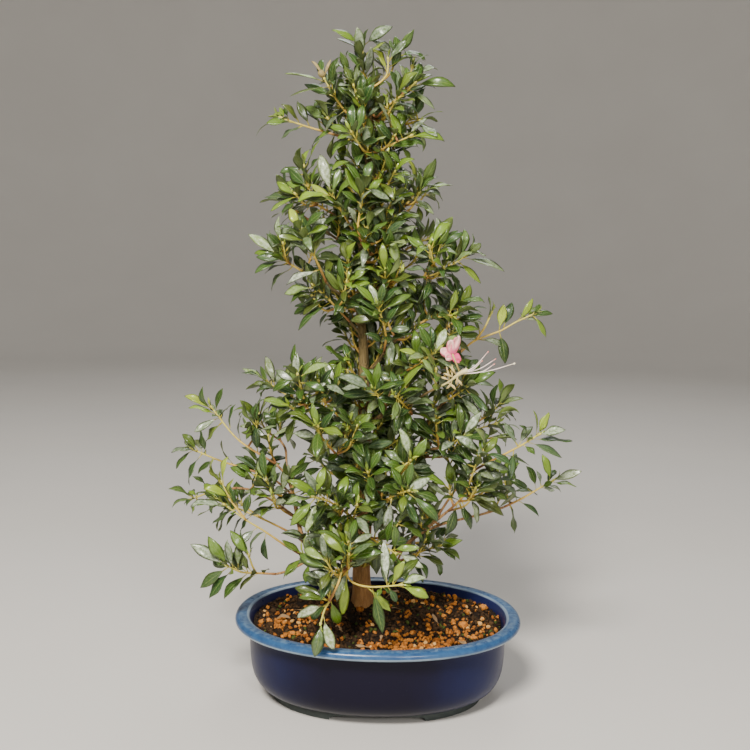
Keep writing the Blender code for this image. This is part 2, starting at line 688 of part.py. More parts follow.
def place_stems(room):
    """Every spray's stem lines by name, each moved a little until its stems are clear of the others."""
    placed = {}
    plans = [(spray.name, lambda nudge, spray=spray: stem_lines(spray, nudge)) for spray in SPRAYS]
    plans += [(f"back_{i + 1}", lambda nudge, i=i: rule_lines(i, nudge)) for i in range(RULE_SPRAYS)]
    for name, lines_at in plans:
        for nudge in NUDGES:
            lines = lines_at(nudge * MM)
            if not any(room.touched(name, shape) for shape in stem_shapes(lines, 2 * GAP)):
                break
        placed[name] = lines
        for shape in stem_shapes(lines):
            room.add(name, shape)
    return placed


def trunk_radius(height):
    """The trunk's own taper, from the soil up to the apex."""
    above = max(height - SOIL_EDGE_HEIGHT, 0)
    left = 1 - min(above / TAPER_HEIGHT, 1)
    flare = FLARE_SHARE * math.exp(-above / FLARE_HEIGHT)
    return TRUNK_FOOT_RADIUS * (left ** TAPER_POWER * TAPER_SHARE + APEX_SHARE) * (1 + flare)


class Wood:
    """Trunk and branches as one growing set of points, each with its parent, like a pipe model."""

    def __init__(self):
        line = [sight(pixel, 0) for pixel in TRUNK_LINE]
        foot = line[0].copy()
        foot.z = SOIL_EDGE_HEIGHT - TRUNK_SUNK + GAP
        self.trunk = [foot, *smooth_line(line, 2)]
        self.points = list(self.trunk)
        self.parents = [None, *range(len(self.trunk) - 1)]
        self.reach = [0.0]
        for a, b in zip(self.trunk, self.trunk[1:]):
            self.reach.append(self.reach[-1] + (b - a).length)
        self.open = [point.z > SOIL_EDGE_HEIGHT + BARE_FOOT for point in self.trunk]
        self.branches = []

    def route(self, parent, end, direction):
        """A curve that leaves the wood outward and meets the stem straight on."""
        start = self.points[parent]
        span = (end - start).length
        leave = ((end - start).normalized() + UP * BRANCH_RISE).normalized() * span
        arrive = direction * span * BRANCH_ARRIVAL
        count = 2 + sum(span >= length for length in LONGER_BRANCHES)
        points = []
        for i in range(1, count + 1):
            t = i / count
            points.append(start * (2 * t ** 3 - 3 * t ** 2 + 1) + leave * (t ** 3 - 2 * t ** 2 + t)
                          + end * (3 * t ** 2 - 2 * t ** 3) + arrive * (t ** 3 - t ** 2))
        return points

    def join(self, name, line, room):
        """Grows a branch from the best point of the wood to the start of this stem."""
        direction = (line[1] - line[0]).normalized()
        end = line[0] - direction * GAP
        costs = []
        for i, point in enumerate(self.points):
            if self.open[i] and (end - point).length > SHORTEST_BRANCH:
                above = max(0.0, point.z - end.z + LEAST_RISE) * ABOVE_COST
                turn = (1 - (end - point).normalized().dot(direction)) * TURN_COST
                crowd = CROWD_COST * self.parents.count(i)
                cost = (end - point).length * (1 + turn) + REACH_COST * self.reach[i] + above + crowd
                costs.append((cost, i))
        for cost, parent in sorted(costs)[:BRANCH_TRIES]:
            points = self.route(parent, end, direction)
            radii = [STEM_RADIUS + 2 * GAP] * (len(points) + 1)
            shape = tube([self.points[parent], *points], radii, CLEARING_SIDES, direction)
            clear = tube([self.points[parent], *points[:-1]], radii[:-1], CLEARING_SIDES)
            if not room.touched(name, shape) and not room.touched("wood", clear):
                break
        else:
            print("no clear way to", name)
            parent = sorted(costs)[0][1]
            points = self.route(parent, end, direction)
        last = parent
        chain = [parent]
        for i, point in enumerate(points):
            self.points.append(point)
            self.parents.append(last)
            self.reach.append(self.reach[last] + (point - self.points[last]).length)
            self.open.append(i < len(points) - 1)
            last = len(self.points) - 1
            chain.append(last)
        self.branches.append((chain, direction))

    def radii(self):
        """Each point's radius: twigs carry their stem, and what joins adds up toward the root."""
        load = [0.0] * len(self.points)
        for chain, direction in self.branches:
            i = chain[-1]
            while i is not None:
                load[i] += STEM_RADIUS ** PIPE_POWER
                i = self.parents[i]
        radii = [max(amount, STEM_RADIUS ** PIPE_POWER) ** (1 / PIPE_POWER) for amount in load]
        for i in range(len(self.trunk)):
            radii[i] = trunk_radius(self.points[i].z)
        return radii

    def shapes(self):
        """The trunk's tube, then one tube for each branch, rooted on its parent's middle line."""
        radii = self.radii()
        shapes = [tube(self.trunk, radii[:len(self.trunk)], TRUNK_SIDES)]
        for chain, direction in self.branches:
            own = [radii[chain[1]], *(radii[i] for i in chain[1:])]
            shapes.append(tube([self.points[i] for i in chain], own, BRANCH_SIDES, direction))
        return shapes


def leaf_normal(place, facing, draw):
    """Which way a leaf's upper face looks: up, away from the trunk, and toward the light in front."""
    axis = sight(AXIS_PIXEL, 0)
    outward = Vector((place.x - axis.x, place.y - axis.y, 0)).normalized()
    stray = Vector((draw.uniform(-1, 1), draw.uniform(-1, 1), draw.uniform(-1, 1)))
    return (UP * LOOK_UP + outward * LOOK_OUT + facing * LOOK_FRONT + stray * LOOK_ASTRAY).normalized()


def point_back(line, away):
    """The point this far back from the line's end."""
    for after, before in zip(reversed(line), reversed(line[:-1])):
        span = (before - after).length
        if away <= span:
            return after.lerp(before, away / span)
        away -= span
    return line[0]


def seen_leaf(free, pixel, attempt, draw):
    """A seat and a leaf whose tip the photograph shows, on the free seat that suits its length and course."""
    target = sight(pixel, free[0].place.y - TREE_PLANE)

    def cost(seat):
        course = Vector((target.x - seat.place.x, 0, target.z - seat.place.z))
        turned = 1 - course.normalized().dot(seat.normal)
        return abs(course.length - TIP_REACH) + turned * TURNED_COST

    seat = sorted(free, key=cost)[min(attempt // 3, len(free) - 1)]
    flat = Vector((seat.place.x - target.x, 0, seat.place.z - target.z)).length
    lean = draw.uniform(*LEAN_SPREAD) * (1 + TRY_LEAN * attempt) * min(flat, MOST_LEAN)
    tip = sight(pixel, seat.place.y - TREE_PLANE + lean)
    length = (tip - seat.place).length
    width = LEAF_WIDTH * draw.uniform(*WIDTH_SPREAD) * (length / LEAF_LENGTH) ** WIDTH_GROWTH
    normal = leaf_normal(tip, Vector((0, -1, 0)), draw)
    return seat, Leaf(seat.place, tip, normal, width, draw.uniform(*BOW_SPREAD) * length)


def rule_leaf(free, index, backward, draw):
    """A seat and a leaf by rule, in the whorls from a stem's end down, most of them seen from behind."""
    nearest = free[:RULE_WHORL]
    if backward:
        nearest = sorted(free[:BACK_WHORLS], key=lambda seat: -seat.normal.y)[:BACK_CHOICES]
    seat = nearest[int(draw.random() * len(nearest))]
    ahead = (seat.twig.line[-1] - seat.twig.line[-2]).normalized()
    opening = math.radians(draw.uniform(*OPENING_SPREAD))
    stray = Vector((draw.uniform(-1, 1), draw.uniform(-1, 1), draw.uniform(-1, 1))) * RULE_ASTRAY
    turned = ahead * math.cos(opening) + seat.normal * math.sin(opening)
    course = (turned + UP * RISE_SHARE + stray).normalized()
    length = LEAF_LENGTH * draw.uniform(*LENGTH_SPREAD)
    tip = seat.place + course * length
    width = LEAF_WIDTH * draw.uniform(*WIDTH_SPREAD) * (length / LEAF_LENGTH) ** WIDTH_GROWTH
    normal = leaf_normal(tip, Vector((0, 0, 0)), draw)
    return seat, Leaf(seat.place, tip, normal, width, draw.uniform(*BOW_SPREAD) * length)


def best_leaf(name, make, room):
    """The try that is clear of every other node and crosses its own spray least: crossings, seat and leaf."""
    best = None
    for attempt in range(LEAF_TRIES):
        seat, leaf = make(attempt)
        course = (leaf.tip - leaf.root).normalized()
        if course.dot(seat.normal) < SEAT_TURN or not SHORTEST < (leaf.tip - leaf.root).length < LONGEST:
            continue
        if room.touched(name, blade(leaf, CLEARANCE * GAP, FOOT_START)):
            continue
        crossings = room.touched(None, blade(leaf, GAP / 2, CLEAR_START))
        if best is None or crossings < best[0]:
            best = (crossings, seat, leaf)
        if crossings == 0:
            break
    return best


def place_leaves(twigs, room):
    """Grows every spray's leaves. Returns those that cross their own spray, by its name, to be fused in."""
    draw = random.Random(SEED)
    crossing = {name: [] for name in twigs}
    free = {name: [seat for twig in pair for seat in reversed(twig.seats())] for name, pair in twigs.items()}
    for spray in SPRAYS:
        seats = free[spray.name]
        for pixel in spray.tips:
            keep_leaf(spray.name, lambda k: seen_leaf(seats, pixel, k, draw), seats, crossing, room)
    for name, pair in twigs.items():
        seen = not name.startswith("back_")
        seats = free[name]
        for index in range(HIDDEN_LEAVES if seen else RULE_LEAVES):
            own = seats if seen else [seat for seat in seats if seat.twig is pair[index % 2]]
            keep_leaf(name, lambda k: rule_leaf(own, index, seen, draw), seats, crossing, room)
    return crossing


def keep_leaf(name, make, free, crossing, room):
    """Keeps the best try, if any is clear, and takes its seat off the free ones."""
    best = best_leaf(name, make, room) if len(free) > SEATS_KEPT else None
    if best is None:
        return
    crossings, seat, leaf = best
    if crossings:
        axis = (seat.twig.frames[seat.ring][0] + seat.twig.frames[seat.ring + 1][0]) / 2
        crossing[name].append(leaf._replace(root=axis))
    else:
        seat.twig.leaves.append((seat, leaf))
    room.add(name, blade(leaf))
    free.remove(seat)


def material(name, colour, roughness):
    made = bpy.data.materials.new(name)
    made.use_nodes = True
    shader = made.node_tree.nodes["Principled BSDF"]
    shader.inputs["Base Color"].default_value = (*colour, 1)
    shader.inputs["Roughness"].default_value = roughness
    made.diffuse_color = (*colour, 1)
    return made


def mesh_object(name, shape):
    mesh = bpy.data.meshes.new(name)
    mesh.from_pydata([v + MODEL_SHIFT for v in shape[0]], [], shape[1])
    mesh.update()
    obj = bpy.data.objects.new(name, mesh)
    bpy.context.scene.collection.objects.link(obj)
    return obj


def apply_modifiers(obj):
    graph = bpy.context.evaluated_depsgraph_get()
    made = bpy.data.meshes.new_from_object(obj.evaluated_get(graph))
    obj.modifiers.clear()
    obj.data = made


def islands(bm):
    """The vertex sets of the mesh that hang together."""
    left = set(bm.verts)
    found = []
    while left:
        start = left.pop()
        group = {start}
        queue = [start]
        while queue:
            for edge in queue.pop().link_edges:
                for vertex in edge.verts:
                    if vertex in left:
                        left.remove(vertex)
                        group.add(vertex)
                        queue.append(vertex)
        found.append(group)
    return found


def span(points):
    """The length of the points' box from corner to corner."""
    low = [min(p[i] for p in points) for i in range(3)]
    high = [max(p[i] for p in points) for i in range(3)]
    return math.dist(low, high)


def keep_one_body(obj):
    """Drops scraps and fills hollows, so that one skin stays. True if it is closed and spans the node."""
    whole = span([v.co for v in obj.data.vertices])
    bm = bmesh.new()
    bm.from_mesh(obj.data)
    bmesh.ops.dissolve_limit(bm, angle_limit=FLAT_ANGLE, verts=bm.verts, edges=bm.edges)
    bmesh.ops.triangulate(bm, faces=bm.faces)
    bmesh.ops.remove_doubles(bm, verts=bm.verts, dist=1e-6)
    groups = islands(bm)
    largest = max(groups, key=lambda group: span([v.co for v in group]))
    bmesh.ops.delete(bm, geom=[v for group in groups if group is not largest for v in group], context="VERTS")
    closed = all(len(edge.link_faces) == 2 for edge in bm.edges)
    closed = closed and span([v.co for v in bm.verts]) > whole - SCRAP_SPAN
    bm.to_mesh(obj.data)
    bm.free()
    return closed


def stirred(shapes, attempt):
    """The same shapes, each moved by a hair on a further attempt, so that no two faces coincide."""
    draw = random.Random(attempt)
    moved = []
    for vertices, faces in shapes:
        hair = Vector((draw.uniform(-1, 1), draw.uniform(-1, 1), draw.uniform(-1, 1))) * HAIR * attempt
        moved.append(([v + hair for v in vertices], faces))
    return moved


def joined_once(name, shapes, solver):
    obj = mesh_object(name, shapes[0])
    if len(shapes) > 1:
        group = bpy.data.collections.new(name + "_parts")
        bpy.context.scene.collection.children.link(group)
        for i, shape in enumerate(shapes[1:]):
            piece = mesh_object(f"{name}_part_{i}", shape)
            bpy.context.scene.collection.objects.unlink(piece)
            group.objects.link(piece)
        union = obj.modifiers.new("join", "BOOLEAN")
        union.operation = "UNION"
        union.operand_type = "COLLECTION"
        union.collection = group
        union.solver = solver
        apply_modifiers(obj)
        for piece in list(group.objects):
            bpy.data.objects.remove(piece, do_unlink=True)
        bpy.data.collections.remove(group)
    return obj, keep_one_body(obj)


def fuse(name, shapes, look):
    """One node from these shapes. Where EXACT leaves it open MANIFOLD joins them, then with fewer shapes."""
    for attempt in range(FUSE_TRIES):
        for solver in ("EXACT", "MANIFOLD"):
            obj, closed = joined_once(name, stirred(shapes, attempt), solver)
            if closed:
                break
            bpy.data.objects.remove(obj, do_unlink=True)
        if closed:
            break
        if attempt >= WHOLE_TRIES:
            shapes = shapes[:-1]
            print(name, "keeps", len(shapes), "shapes")
    obj.data.materials.clear()
    obj.data.materials.append(look)
    return obj


def cut(obj, cutter):
    tool = obj.modifiers.new("cut", "BOOLEAN")
    tool.operation = "DIFFERENCE"
    tool.solver = "EXACT"
    tool.object = cutter
    apply_modifiers(obj)
    bpy.data.objects.remove(cutter, do_unlink=True)


def foot_cutter():
    """A long low arch that divides the foot ring into a left and a right foot."""
    arch = []
    for k in range(ARCH_STEPS + 1):
        angle = math.pi * k / ARCH_STEPS
        across = math.cos(angle) * FOOT_GAP_HALF + FOOT_GAP_ASIDE
        arch.append((across, math.sin(angle) ** ARCH_POWER * FOOT_GAP_HEIGHT))
    below = -FOOT_GAP_HEIGHT
    outline = [(arch[0][0], below), *arch, (arch[-1][0], below)]
    vertices = [Vector((x, side * POT_DEPTH, z)) for side in (-1, 1) for x, z in outline]
    count = len(outline)
    faces = [tuple(range(count)), tuple(range(2 * count - 1, count - 1, -1))]
    for k in range(count):
        follow = (k + 1) % count
        faces.append((k, k + count, follow + count, follow))
    return mesh_object("foot_cutter", (vertices, faces))


def make_pot(look):
    pot = mesh_object("pot", pot_skin(POT_SIDES))
    cut(pot, foot_cutter())
    for side in (-1, 1):
        line = [Vector((POT_ASIDE + side * DRAIN_ASIDE, 0, height)) for height in DRAIN_CUT]
        cut(pot, mesh_object("drain_cutter", tube(line, [DRAIN_RADIUS] * 2, DRAIN_SIDES)))
    keep_one_body(pot)
    pot.data.materials.append(look)
    return pot


def flower_shapes():
    """The spent flower: its stalk with calyx and threads, and its petals, as two lists of shapes."""
    depth = FLOWER_DEPTH
    stalk = [sight(pixel, depth) for pixel in FLOWER_STALK]
    calyx = stalk[-1]
    beyond = calyx + (sight(FLOWER_THREADS[0][0], depth) - calyx).normalized() * CALYX_LENGTH
    green = [tube([*stalk, beyond], [STALK_RADIUS] * (len(stalk) - 1) + list(CALYX_RADII), STALK_SIDES)]
    for i, pixels in enumerate(FLOWER_THREADS):
        lean = (i % 3 - 1) * THREAD_LEAN
        line = [calyx, *(sight(pixel, depth + lean * (k + 1) / 2) for k, pixel in enumerate(pixels))]
        line = smooth_line(line, 2)
        line.append(line[-1] + (line[-1] - line[-2]).normalized() * THREAD_KNOB)
        radii = [THREAD_RADII[0]] * (len(line) - 2) + list(THREAD_RADII[1:])
        green.append(tube(line, radii, THREAD_SIDES))
    petal_stalk = petal_stalk_line(calyx)
    pink = [tube(petal_stalk, PETAL_STALK, PETAL_SIDES)]
    for i, pixel in enumerate(PETAL_TIPS):
        tip = sight(pixel, depth + (i % 3 - 1) * PETAL_LEAN)
        bow = PETAL_BOW * (1 - i % 2 * 2)
        root = petal_stalk[0].lerp(petal_stalk[1], 0.9)
        pink.append(blade(Leaf(root, tip, PETAL_LOOKS[i % 2], PETAL_WIDTH, bow)))
    return stalk, green, pink


def petal_stalk_line(calyx):
    """From just above the calyx to where the withered petals meet."""
    return [calyx + UP * (CALYX_RADII[0] + 3 * GAP), sight(PETAL_CROWN, FLOWER_DEPTH)]


def capsule_shapes(stem):
    """The seed capsule on a short stalk past a stem's end, with its two bracts."""
    ahead = (stem[-1] - stem[-2]).normalized()
    line = [stem[-1] + ahead * (GAP + step * MM) for step in CAPSULE_STEPS]
    shapes = [tube(line, CAPSULE_RADII, CAPSULE_RIBS)]
    for pixel in CAPSULE_BRACTS:
        tip = sight(pixel, stem[-1].y - TREE_PLANE)
        shapes.append(blade(Leaf(line[1], tip, BRACT_LOOK, BRACT_WIDTH, BRACT_BOW)))
    return shapes


def main():
    clear_scene()
    looks = {
        "glaze": material("glazed_blue", (0.022, 0.045, 0.150), 0.28),
        "soil": material("soil_grains", (0.23, 0.10, 0.035), 0.9),
        "bark": material("bark", (0.26, 0.15, 0.08), 0.75),
        "leaf": material("leaf_green", (0.075, 0.135, 0.030), 0.42),
        "petal": material("petal_pink", (0.80, 0.26, 0.38), 0.55),
        "thread": material("flower_threads", (0.62, 0.50, 0.36), 0.5),
        "capsule": material("capsule_tan", (0.36, 0.28, 0.10), 0.6),
    }
    make_pot(looks["glaze"])
    fuse("soil", [soil_skin(random.Random(SEED))], looks["soil"])

    room = Room()
    room.add("pot", pot_skin(POT_SIDES))
    room.add("soil", soil_skin(random.Random(SEED)))
    stalk, green, pink = flower_shapes()
    for shape in green:
        room.add("flower_stamens", shape)
    for shape in pink:
        room.add("flower_petals", shape)
    stems = place_stems(room)
    capsule = capsule_shapes(stems["crown_left"][0])
    for shape in capsule:
        room.add("seed_capsule", shape)

    wood = Wood()
    starts = [(name, lines[0]) for name, lines in stems.items()] + [("flower_stamens", stalk)]
    axis = sight(AXIS_PIXEL, 0)
    starts.sort(key=lambda start: math.hypot(start[1][0].x - axis.x, start[1][0].y - axis.y))
    for name, line in starts:
        wood.join(name, line, room)
    wood_shapes = wood.shapes()
    for shape in wood_shapes:
        room.add("wood", shape)
    twigs = {name: [Twig(line) for line in lines] for name, lines in stems.items()}
    crossing = place_leaves(twigs, room)

    fuse("wood", wood_shapes, looks["bark"])
    fuse("flower_stamens", green, looks["thread"])
    fuse("flower_petals", pink, looks["petal"])
    fuse("seed_capsule", capsule, looks["capsule"])
    for name, pair in twigs.items():
        shapes = [twig.mesh() for twig in pair] + [blade(leaf) for leaf in crossing[name]]
        fuse("spray_" + name, shapes, looks["leaf"])
    grown = sum(len(twig.leaves) for pair in twigs.values() for twig in pair)
    print(grown, "leaves grown and", sum(len(kept) for kept in crossing.values()), "fused in")


main()
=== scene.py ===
"""The looks of the azalea bonsai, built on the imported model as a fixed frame.

The leaves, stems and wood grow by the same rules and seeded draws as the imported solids, so each
fine piece lies where its solid is. Leaves that the solids leave out are then added where there is
room for them.
"""

import math
import random
from collections import namedtuple

import bpy
from mathutils import Matrix, Vector, noise
from mathutils.bvhtree import BVHTree


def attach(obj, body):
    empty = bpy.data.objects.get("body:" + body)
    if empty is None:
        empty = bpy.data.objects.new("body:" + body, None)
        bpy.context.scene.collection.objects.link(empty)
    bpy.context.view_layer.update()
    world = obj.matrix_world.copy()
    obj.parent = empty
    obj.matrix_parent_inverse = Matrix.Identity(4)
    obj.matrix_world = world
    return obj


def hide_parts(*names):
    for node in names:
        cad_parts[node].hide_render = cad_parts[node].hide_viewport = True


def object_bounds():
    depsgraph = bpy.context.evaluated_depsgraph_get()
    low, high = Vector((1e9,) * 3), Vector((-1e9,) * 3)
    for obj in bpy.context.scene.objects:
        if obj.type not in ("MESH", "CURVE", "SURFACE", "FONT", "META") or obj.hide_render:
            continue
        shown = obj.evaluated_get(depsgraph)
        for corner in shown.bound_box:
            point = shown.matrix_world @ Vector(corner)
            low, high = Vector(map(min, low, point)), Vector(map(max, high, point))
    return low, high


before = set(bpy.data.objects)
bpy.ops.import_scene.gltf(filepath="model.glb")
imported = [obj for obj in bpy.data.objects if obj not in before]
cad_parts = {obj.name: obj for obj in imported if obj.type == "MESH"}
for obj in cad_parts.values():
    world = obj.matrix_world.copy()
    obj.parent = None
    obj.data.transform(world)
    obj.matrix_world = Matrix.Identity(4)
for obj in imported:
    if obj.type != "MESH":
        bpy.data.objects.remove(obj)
CAD_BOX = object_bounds()

# Driving dimensions, in metres
POT_WIDTH = 0.2576
POT_DEPTH = 0.208
TRUNK_FOOT_RADIUS = 0.0088
STEM_RADIUS = 0.0011
LEAF_LENGTH = 0.027
LEAF_WIDTH = 0.0104
BLADE = 0.0009
GAP = 0.0003

# The camera that took the photograph, in metres and in pixels of its frame
FRAME_MIDDLE = 375
FOCAL_PIXELS = 1000
CAMERA_HEIGHT = 0.382
CAMERA_DISTANCE = 0.882
CAMERA_ASIDE = -0.003
CAMERA_TILT = math.radians(6.0)
CAMERA_ROLL = math.radians(1.0)
EYE = Vector((CAMERA_ASIDE, -CAMERA_DISTANCE, CAMERA_HEIGHT))
LEVEL = Vector((1, 0, 0))
RISE = Vector((0, math.sin(CAMERA_TILT), math.cos(CAMERA_TILT)))
AHEAD = Vector((0, math.cos(CAMERA_TILT), -math.sin(CAMERA_TILT)))
RIGHT = LEVEL * math.cos(CAMERA_ROLL) + RISE * math.sin(CAMERA_ROLL)
TOP = RISE * math.cos(CAMERA_ROLL) - LEVEL * math.sin(CAMERA_ROLL)

# The plane of the trunk is a little behind the middle of the pot, and the pot is a little to its right
TREE_PLANE = 0.015
POT_ASIDE = 0.0034
MODEL_SHIFT = Vector((0.0057, -0.0221, 0))
MM = 0.001
UP = Vector((0, 0, 1))
GOLDEN_SHARE = (math.sqrt(5) - 1) / 2
COARSE_STEPS = 2

# Seeds of the draws: the growth of the solids, then those that only the fine model has
SEED = 31
FILL_SEED, GRAIN_SEED, LITTER_SEED, PETAL_SEED, CAPSULE_SEED, SHOOT_SEED, SIDE_LEAF_SEED = range(32, 39)

Spray = namedtuple("Spray", "name depth stems tips")
Leaf = namedtuple("Leaf", "root tip normal width bow")
Seat = namedtuple("Seat", "twig place normal")

# A photo pixel on the crown's upright axis, and those up the trunk from the soil to the apex
AXIS_PIXEL = (365, 300)
TRUNK_LINE = ((362, 612), (362, 560), (365, 500), (364, 440), (364, 380), (363, 340), (360, 300),
              (368, 250), (372, 200), (366, 150), (371, 118))

# Sprays seen in the photograph: depth behind the trunk in mm, stems and leaf tips in photo pixels
SPRAYS = (
    Spray("apex", -4, (((371, 112), (366, 90), (363, 66), (363, 44)), ((366, 90), (378, 84), (387, 74),
                                                                       (388, 60))),
          ((331, 30), (357, 27), (372, 49), (393, 26), (386, 42), (407, 40), (426, 62), (346, 52))),
    Spray("crown_right", -10, (((376, 118), (388, 106), (402, 95), (414, 84)),),
          ((456, 87), (459, 107), (435, 110), (432, 74), (420, 62))),
    Spray("crown_left", -15, (((362, 126), (346, 112), (333, 94), (325, 80)),),
          ((284, 74), (289, 97), (304, 84), (336, 68))),
    Spray("left_top", 10, (((344, 137), (322, 131), (302, 125), (282, 118)),),
          ((266, 123), (281, 104), (297, 101), (281, 139), (322, 112))),
    Spray("right_top", -15, (((374, 154), (386, 147), (394, 136)), ((386, 147), (398, 142), (410, 136))),
          ((390, 113), (427, 118), (404, 110), (445, 142), (376, 124))),
    Spray("left_upper", 40, (((312, 222), (298, 212), (291, 203), (290, 190)),),
          ((286, 166), (276, 175), (301, 168), (314, 187), (264, 198))),
    Spray("front_left_upper", -30, (((356, 236), (347, 220), (338, 206), (331, 194)),),
          ((320, 154), (340, 168), (297, 203), (310, 184))),
    Spray("front_upper", -40, (((362, 246), (358, 228), (361, 206), (364, 186)),),
          ((372, 161), (345, 163), (384, 178), (390, 200))),
    Spray("right_upper", 10, (((380, 232), (391, 223), (400, 211), (405, 191)), ((400, 211), (410, 200),
                                                                                 (418, 187))),
          ((403, 158), (384, 164), (418, 166), (436, 158), (451, 186), (443, 202), (434, 215),
           (426, 230))),
    Spray("right_long", -20, (((388, 284), (403, 279), (424, 277), (442, 271), (464, 257)),
                              ((424, 277), (429, 264), (430, 250))),
          ((436, 217), (444, 242), (460, 236), (481, 243), (486, 256), (505, 272), (481, 284),
           (456, 294))),
    Spray("left_front_high", -60, (((326, 282), (319, 266), (311, 250), (301, 230)),),
          ((324, 212), (277, 236), (290, 208), (268, 281), (286, 285))),
    Spray("left_broad", -20, (((318, 280), (304, 272), (290, 264), (278, 256)),),
          ((248, 234), (254, 254), (230, 272), (269, 319), (270, 230))),
    Spray("left_middle", -30, (((350, 322), (337, 308), (325, 296), (314, 286)),),
          ((284, 294), (290, 304), (298, 331), (306, 262), (330, 268))),
    Spray("centre_high", -25, (((358, 304), (352, 290), (347, 276), (348, 262)),),
          ((354, 236), (328, 252), (372, 256), (370, 324), (334, 316))),
    Spray("bud_shoot", -60, (((384, 352), (386, 338), (383, 322), (378, 307)),),
          ((369, 284), (384, 282), (401, 304), (358, 306), (364, 334))),
    Spray("front_right_high", -60, (((402, 374), (418, 364), (434, 353)),),
          ((398, 350), (418, 325), (431, 326), (446, 328), (462, 372))),
    Spray("right_reach", 10, (((448, 364), (463, 350), (476, 340), (500, 331), (516, 322), (534, 314)),
                              ((476, 340), (485, 327), (491, 314))),
          ((512, 302), (553, 314), (533, 298), (546, 338), (504, 350), (505, 364), (468, 310),
           (488, 296), (504, 304))),
    Spray("right_bud", -15, (((438, 336), (450, 326), (457, 314), (457, 302)),),
          ((470, 284), (455, 280), (438, 285), (485, 303), (430, 306))),
    Spray("left_reach", 10, (((276, 464), (256, 452), (241, 442), (229, 430), (212, 408)),),
          ((184, 396), (188, 408), (203, 386), (223, 388), (194, 432), (206, 442), (242, 414),
           (236, 404), (256, 426))),
    Spray("left_far", 50, (((262, 474), (240, 467), (221, 461), (206, 455), (192, 449)),),
          ((171, 453), (182, 434), (200, 430), (176, 469), (198, 474), (190, 486), (222, 440))),
    Spray("left_inner", 50, (((280, 440), (268, 432), (262, 423), (259, 414)),),
          ((232, 412), (261, 392), (275, 396), (246, 440))),
    Spray("front_left_tall", -60, (((322, 428), (311, 414), (303, 396), (298, 376)),),
          ((297, 352), (273, 392), (275, 370), (312, 360), (326, 392))),
    Spray("front_left_fork", -50, (((350, 432), (338, 416), (325, 403), (309, 384)),
                                   ((325, 403), (322, 392), (319, 382))),
          ((317, 356), (333, 368), (292, 374), (346, 396), (302, 408))),
    Spray("front_left_low", -80, (((336, 454), (328, 445), (321, 436), (318, 427)),),
          ((312, 402), (292, 434), (336, 410), (300, 414), (344, 436))),
    Spray("front_middle", -70, (((386, 406), (381, 398), (374, 391)),),
          ((337, 377), (342, 396), (379, 362), (360, 366), (398, 384))),
    Spray("front_middle_right", -70, (((412, 414), (404, 405), (396, 397)),),
          ((425, 364), (435, 404), (382, 418), (417, 382), (390, 370))),
    Spray("front_low", -80, (((396, 480), (404, 470), (410, 461)),),
          ((398, 428), (390, 478), (416, 488), (427, 438), (384, 450))),
    Spray("front_centre_low", -76, (((374, 494), (370, 484), (368, 473)),),
          ((352, 450), (366, 444), (382, 450), (346, 478), (392, 480))),
    Spray("right_centre", -30, (((442, 404), (454, 396), (466, 387)),),
          ((511, 388), (488, 412), (480, 362), (496, 372), (452, 370))),
    Spray("right_silver", -45, (((440, 448), (452, 443), (462, 438)),),
          ((482, 411), (490, 436), (466, 412), (446, 418), (474, 462))),
    Spray("right_back", 50, (((474, 424), (488, 415), (500, 405)),),
          ((524, 399), (520, 414), (499, 378), (515, 384), (484, 392))),
    Spray("low_left_long", -30, (((300, 554), (286, 546), (273, 537), (261, 529), (246, 520),
                                  (225, 505)), ((246, 520), (232, 502), (222, 483))),
          ((190, 507), (203, 489), (234, 478), (213, 458), (229, 456), (237, 546), (212, 524),
           (250, 494), (268, 560))),
    Spray("low_left_branch", -40, (((276, 574), (256, 573), (241, 572), (227, 566)),
                                   ((256, 573), (252, 565), (249, 556))),
          ((190, 544), (176, 563), (200, 588), (209, 599), (230, 530), (208, 536), (240, 530),
           (264, 532))),
    Spray("left_faint", 40, (((236, 488), (222, 490), (208, 493), (192, 499)),),
          ((168, 489), (172, 508), (192, 476), (212, 514))),
    Spray("low_front_left", -90, (((348, 514), (338, 507), (328, 501), (314, 497)),),
          ((325, 466), (284, 504), (290, 526), (313, 531), (286, 480), (304, 470))),
    Spray("low_front_right", -90, (((378, 506), (388, 499), (398, 494), (408, 491)),),
          ((390, 466), (412, 462), (430, 478), (440, 503), (362, 490), (384, 530), (438, 522),
           (418, 524))),
    Spray("low_front_fan", -88, (((364, 534), (379, 543), (395, 553)),),
          ((394, 524), (420, 548), (424, 568), (376, 572), (362, 556))),
    Spray("front_hanging", -119, (((353, 556), (347, 568), (349, 579), (359, 585), (375, 587),
                                   (400, 585)),
                                  ((347, 568), (341, 582), (334, 594), (325, 609), (321, 622))),
          ((304, 573), (405, 560), (427, 578), (429, 598), (391, 612), (383, 634), (384, 540),
           (297, 618), (314, 659), (334, 650), (342, 616))),
    Spray("low_right", -10, (((402, 560), (420, 552), (440, 546)),),
          ((463, 540), (440, 576), (428, 524), (460, 560))),
    Spray("right_low_reach", -40, (((478, 468), (499, 457), (520, 446), (538, 435)),),
          ((504, 422), (533, 410), (549, 412), (566, 430), (573, 441), (562, 458), (530, 466),
           (510, 480))),
    Spray("right_end", 0, (((504, 507), (521, 499), (538, 489), (552, 481)),),
          ((582, 471), (577, 487), (587, 516), (542, 454), (526, 466), (539, 517), (510, 480))),
    Spray("right_low_fork", -50, (((448, 511), (459, 501), (467, 490), (474, 470), (482, 452)),),
          ((440, 455), (454, 436), (474, 428), (498, 436), (511, 466), (497, 493), (504, 516),
           (471, 530), (446, 536))),
)

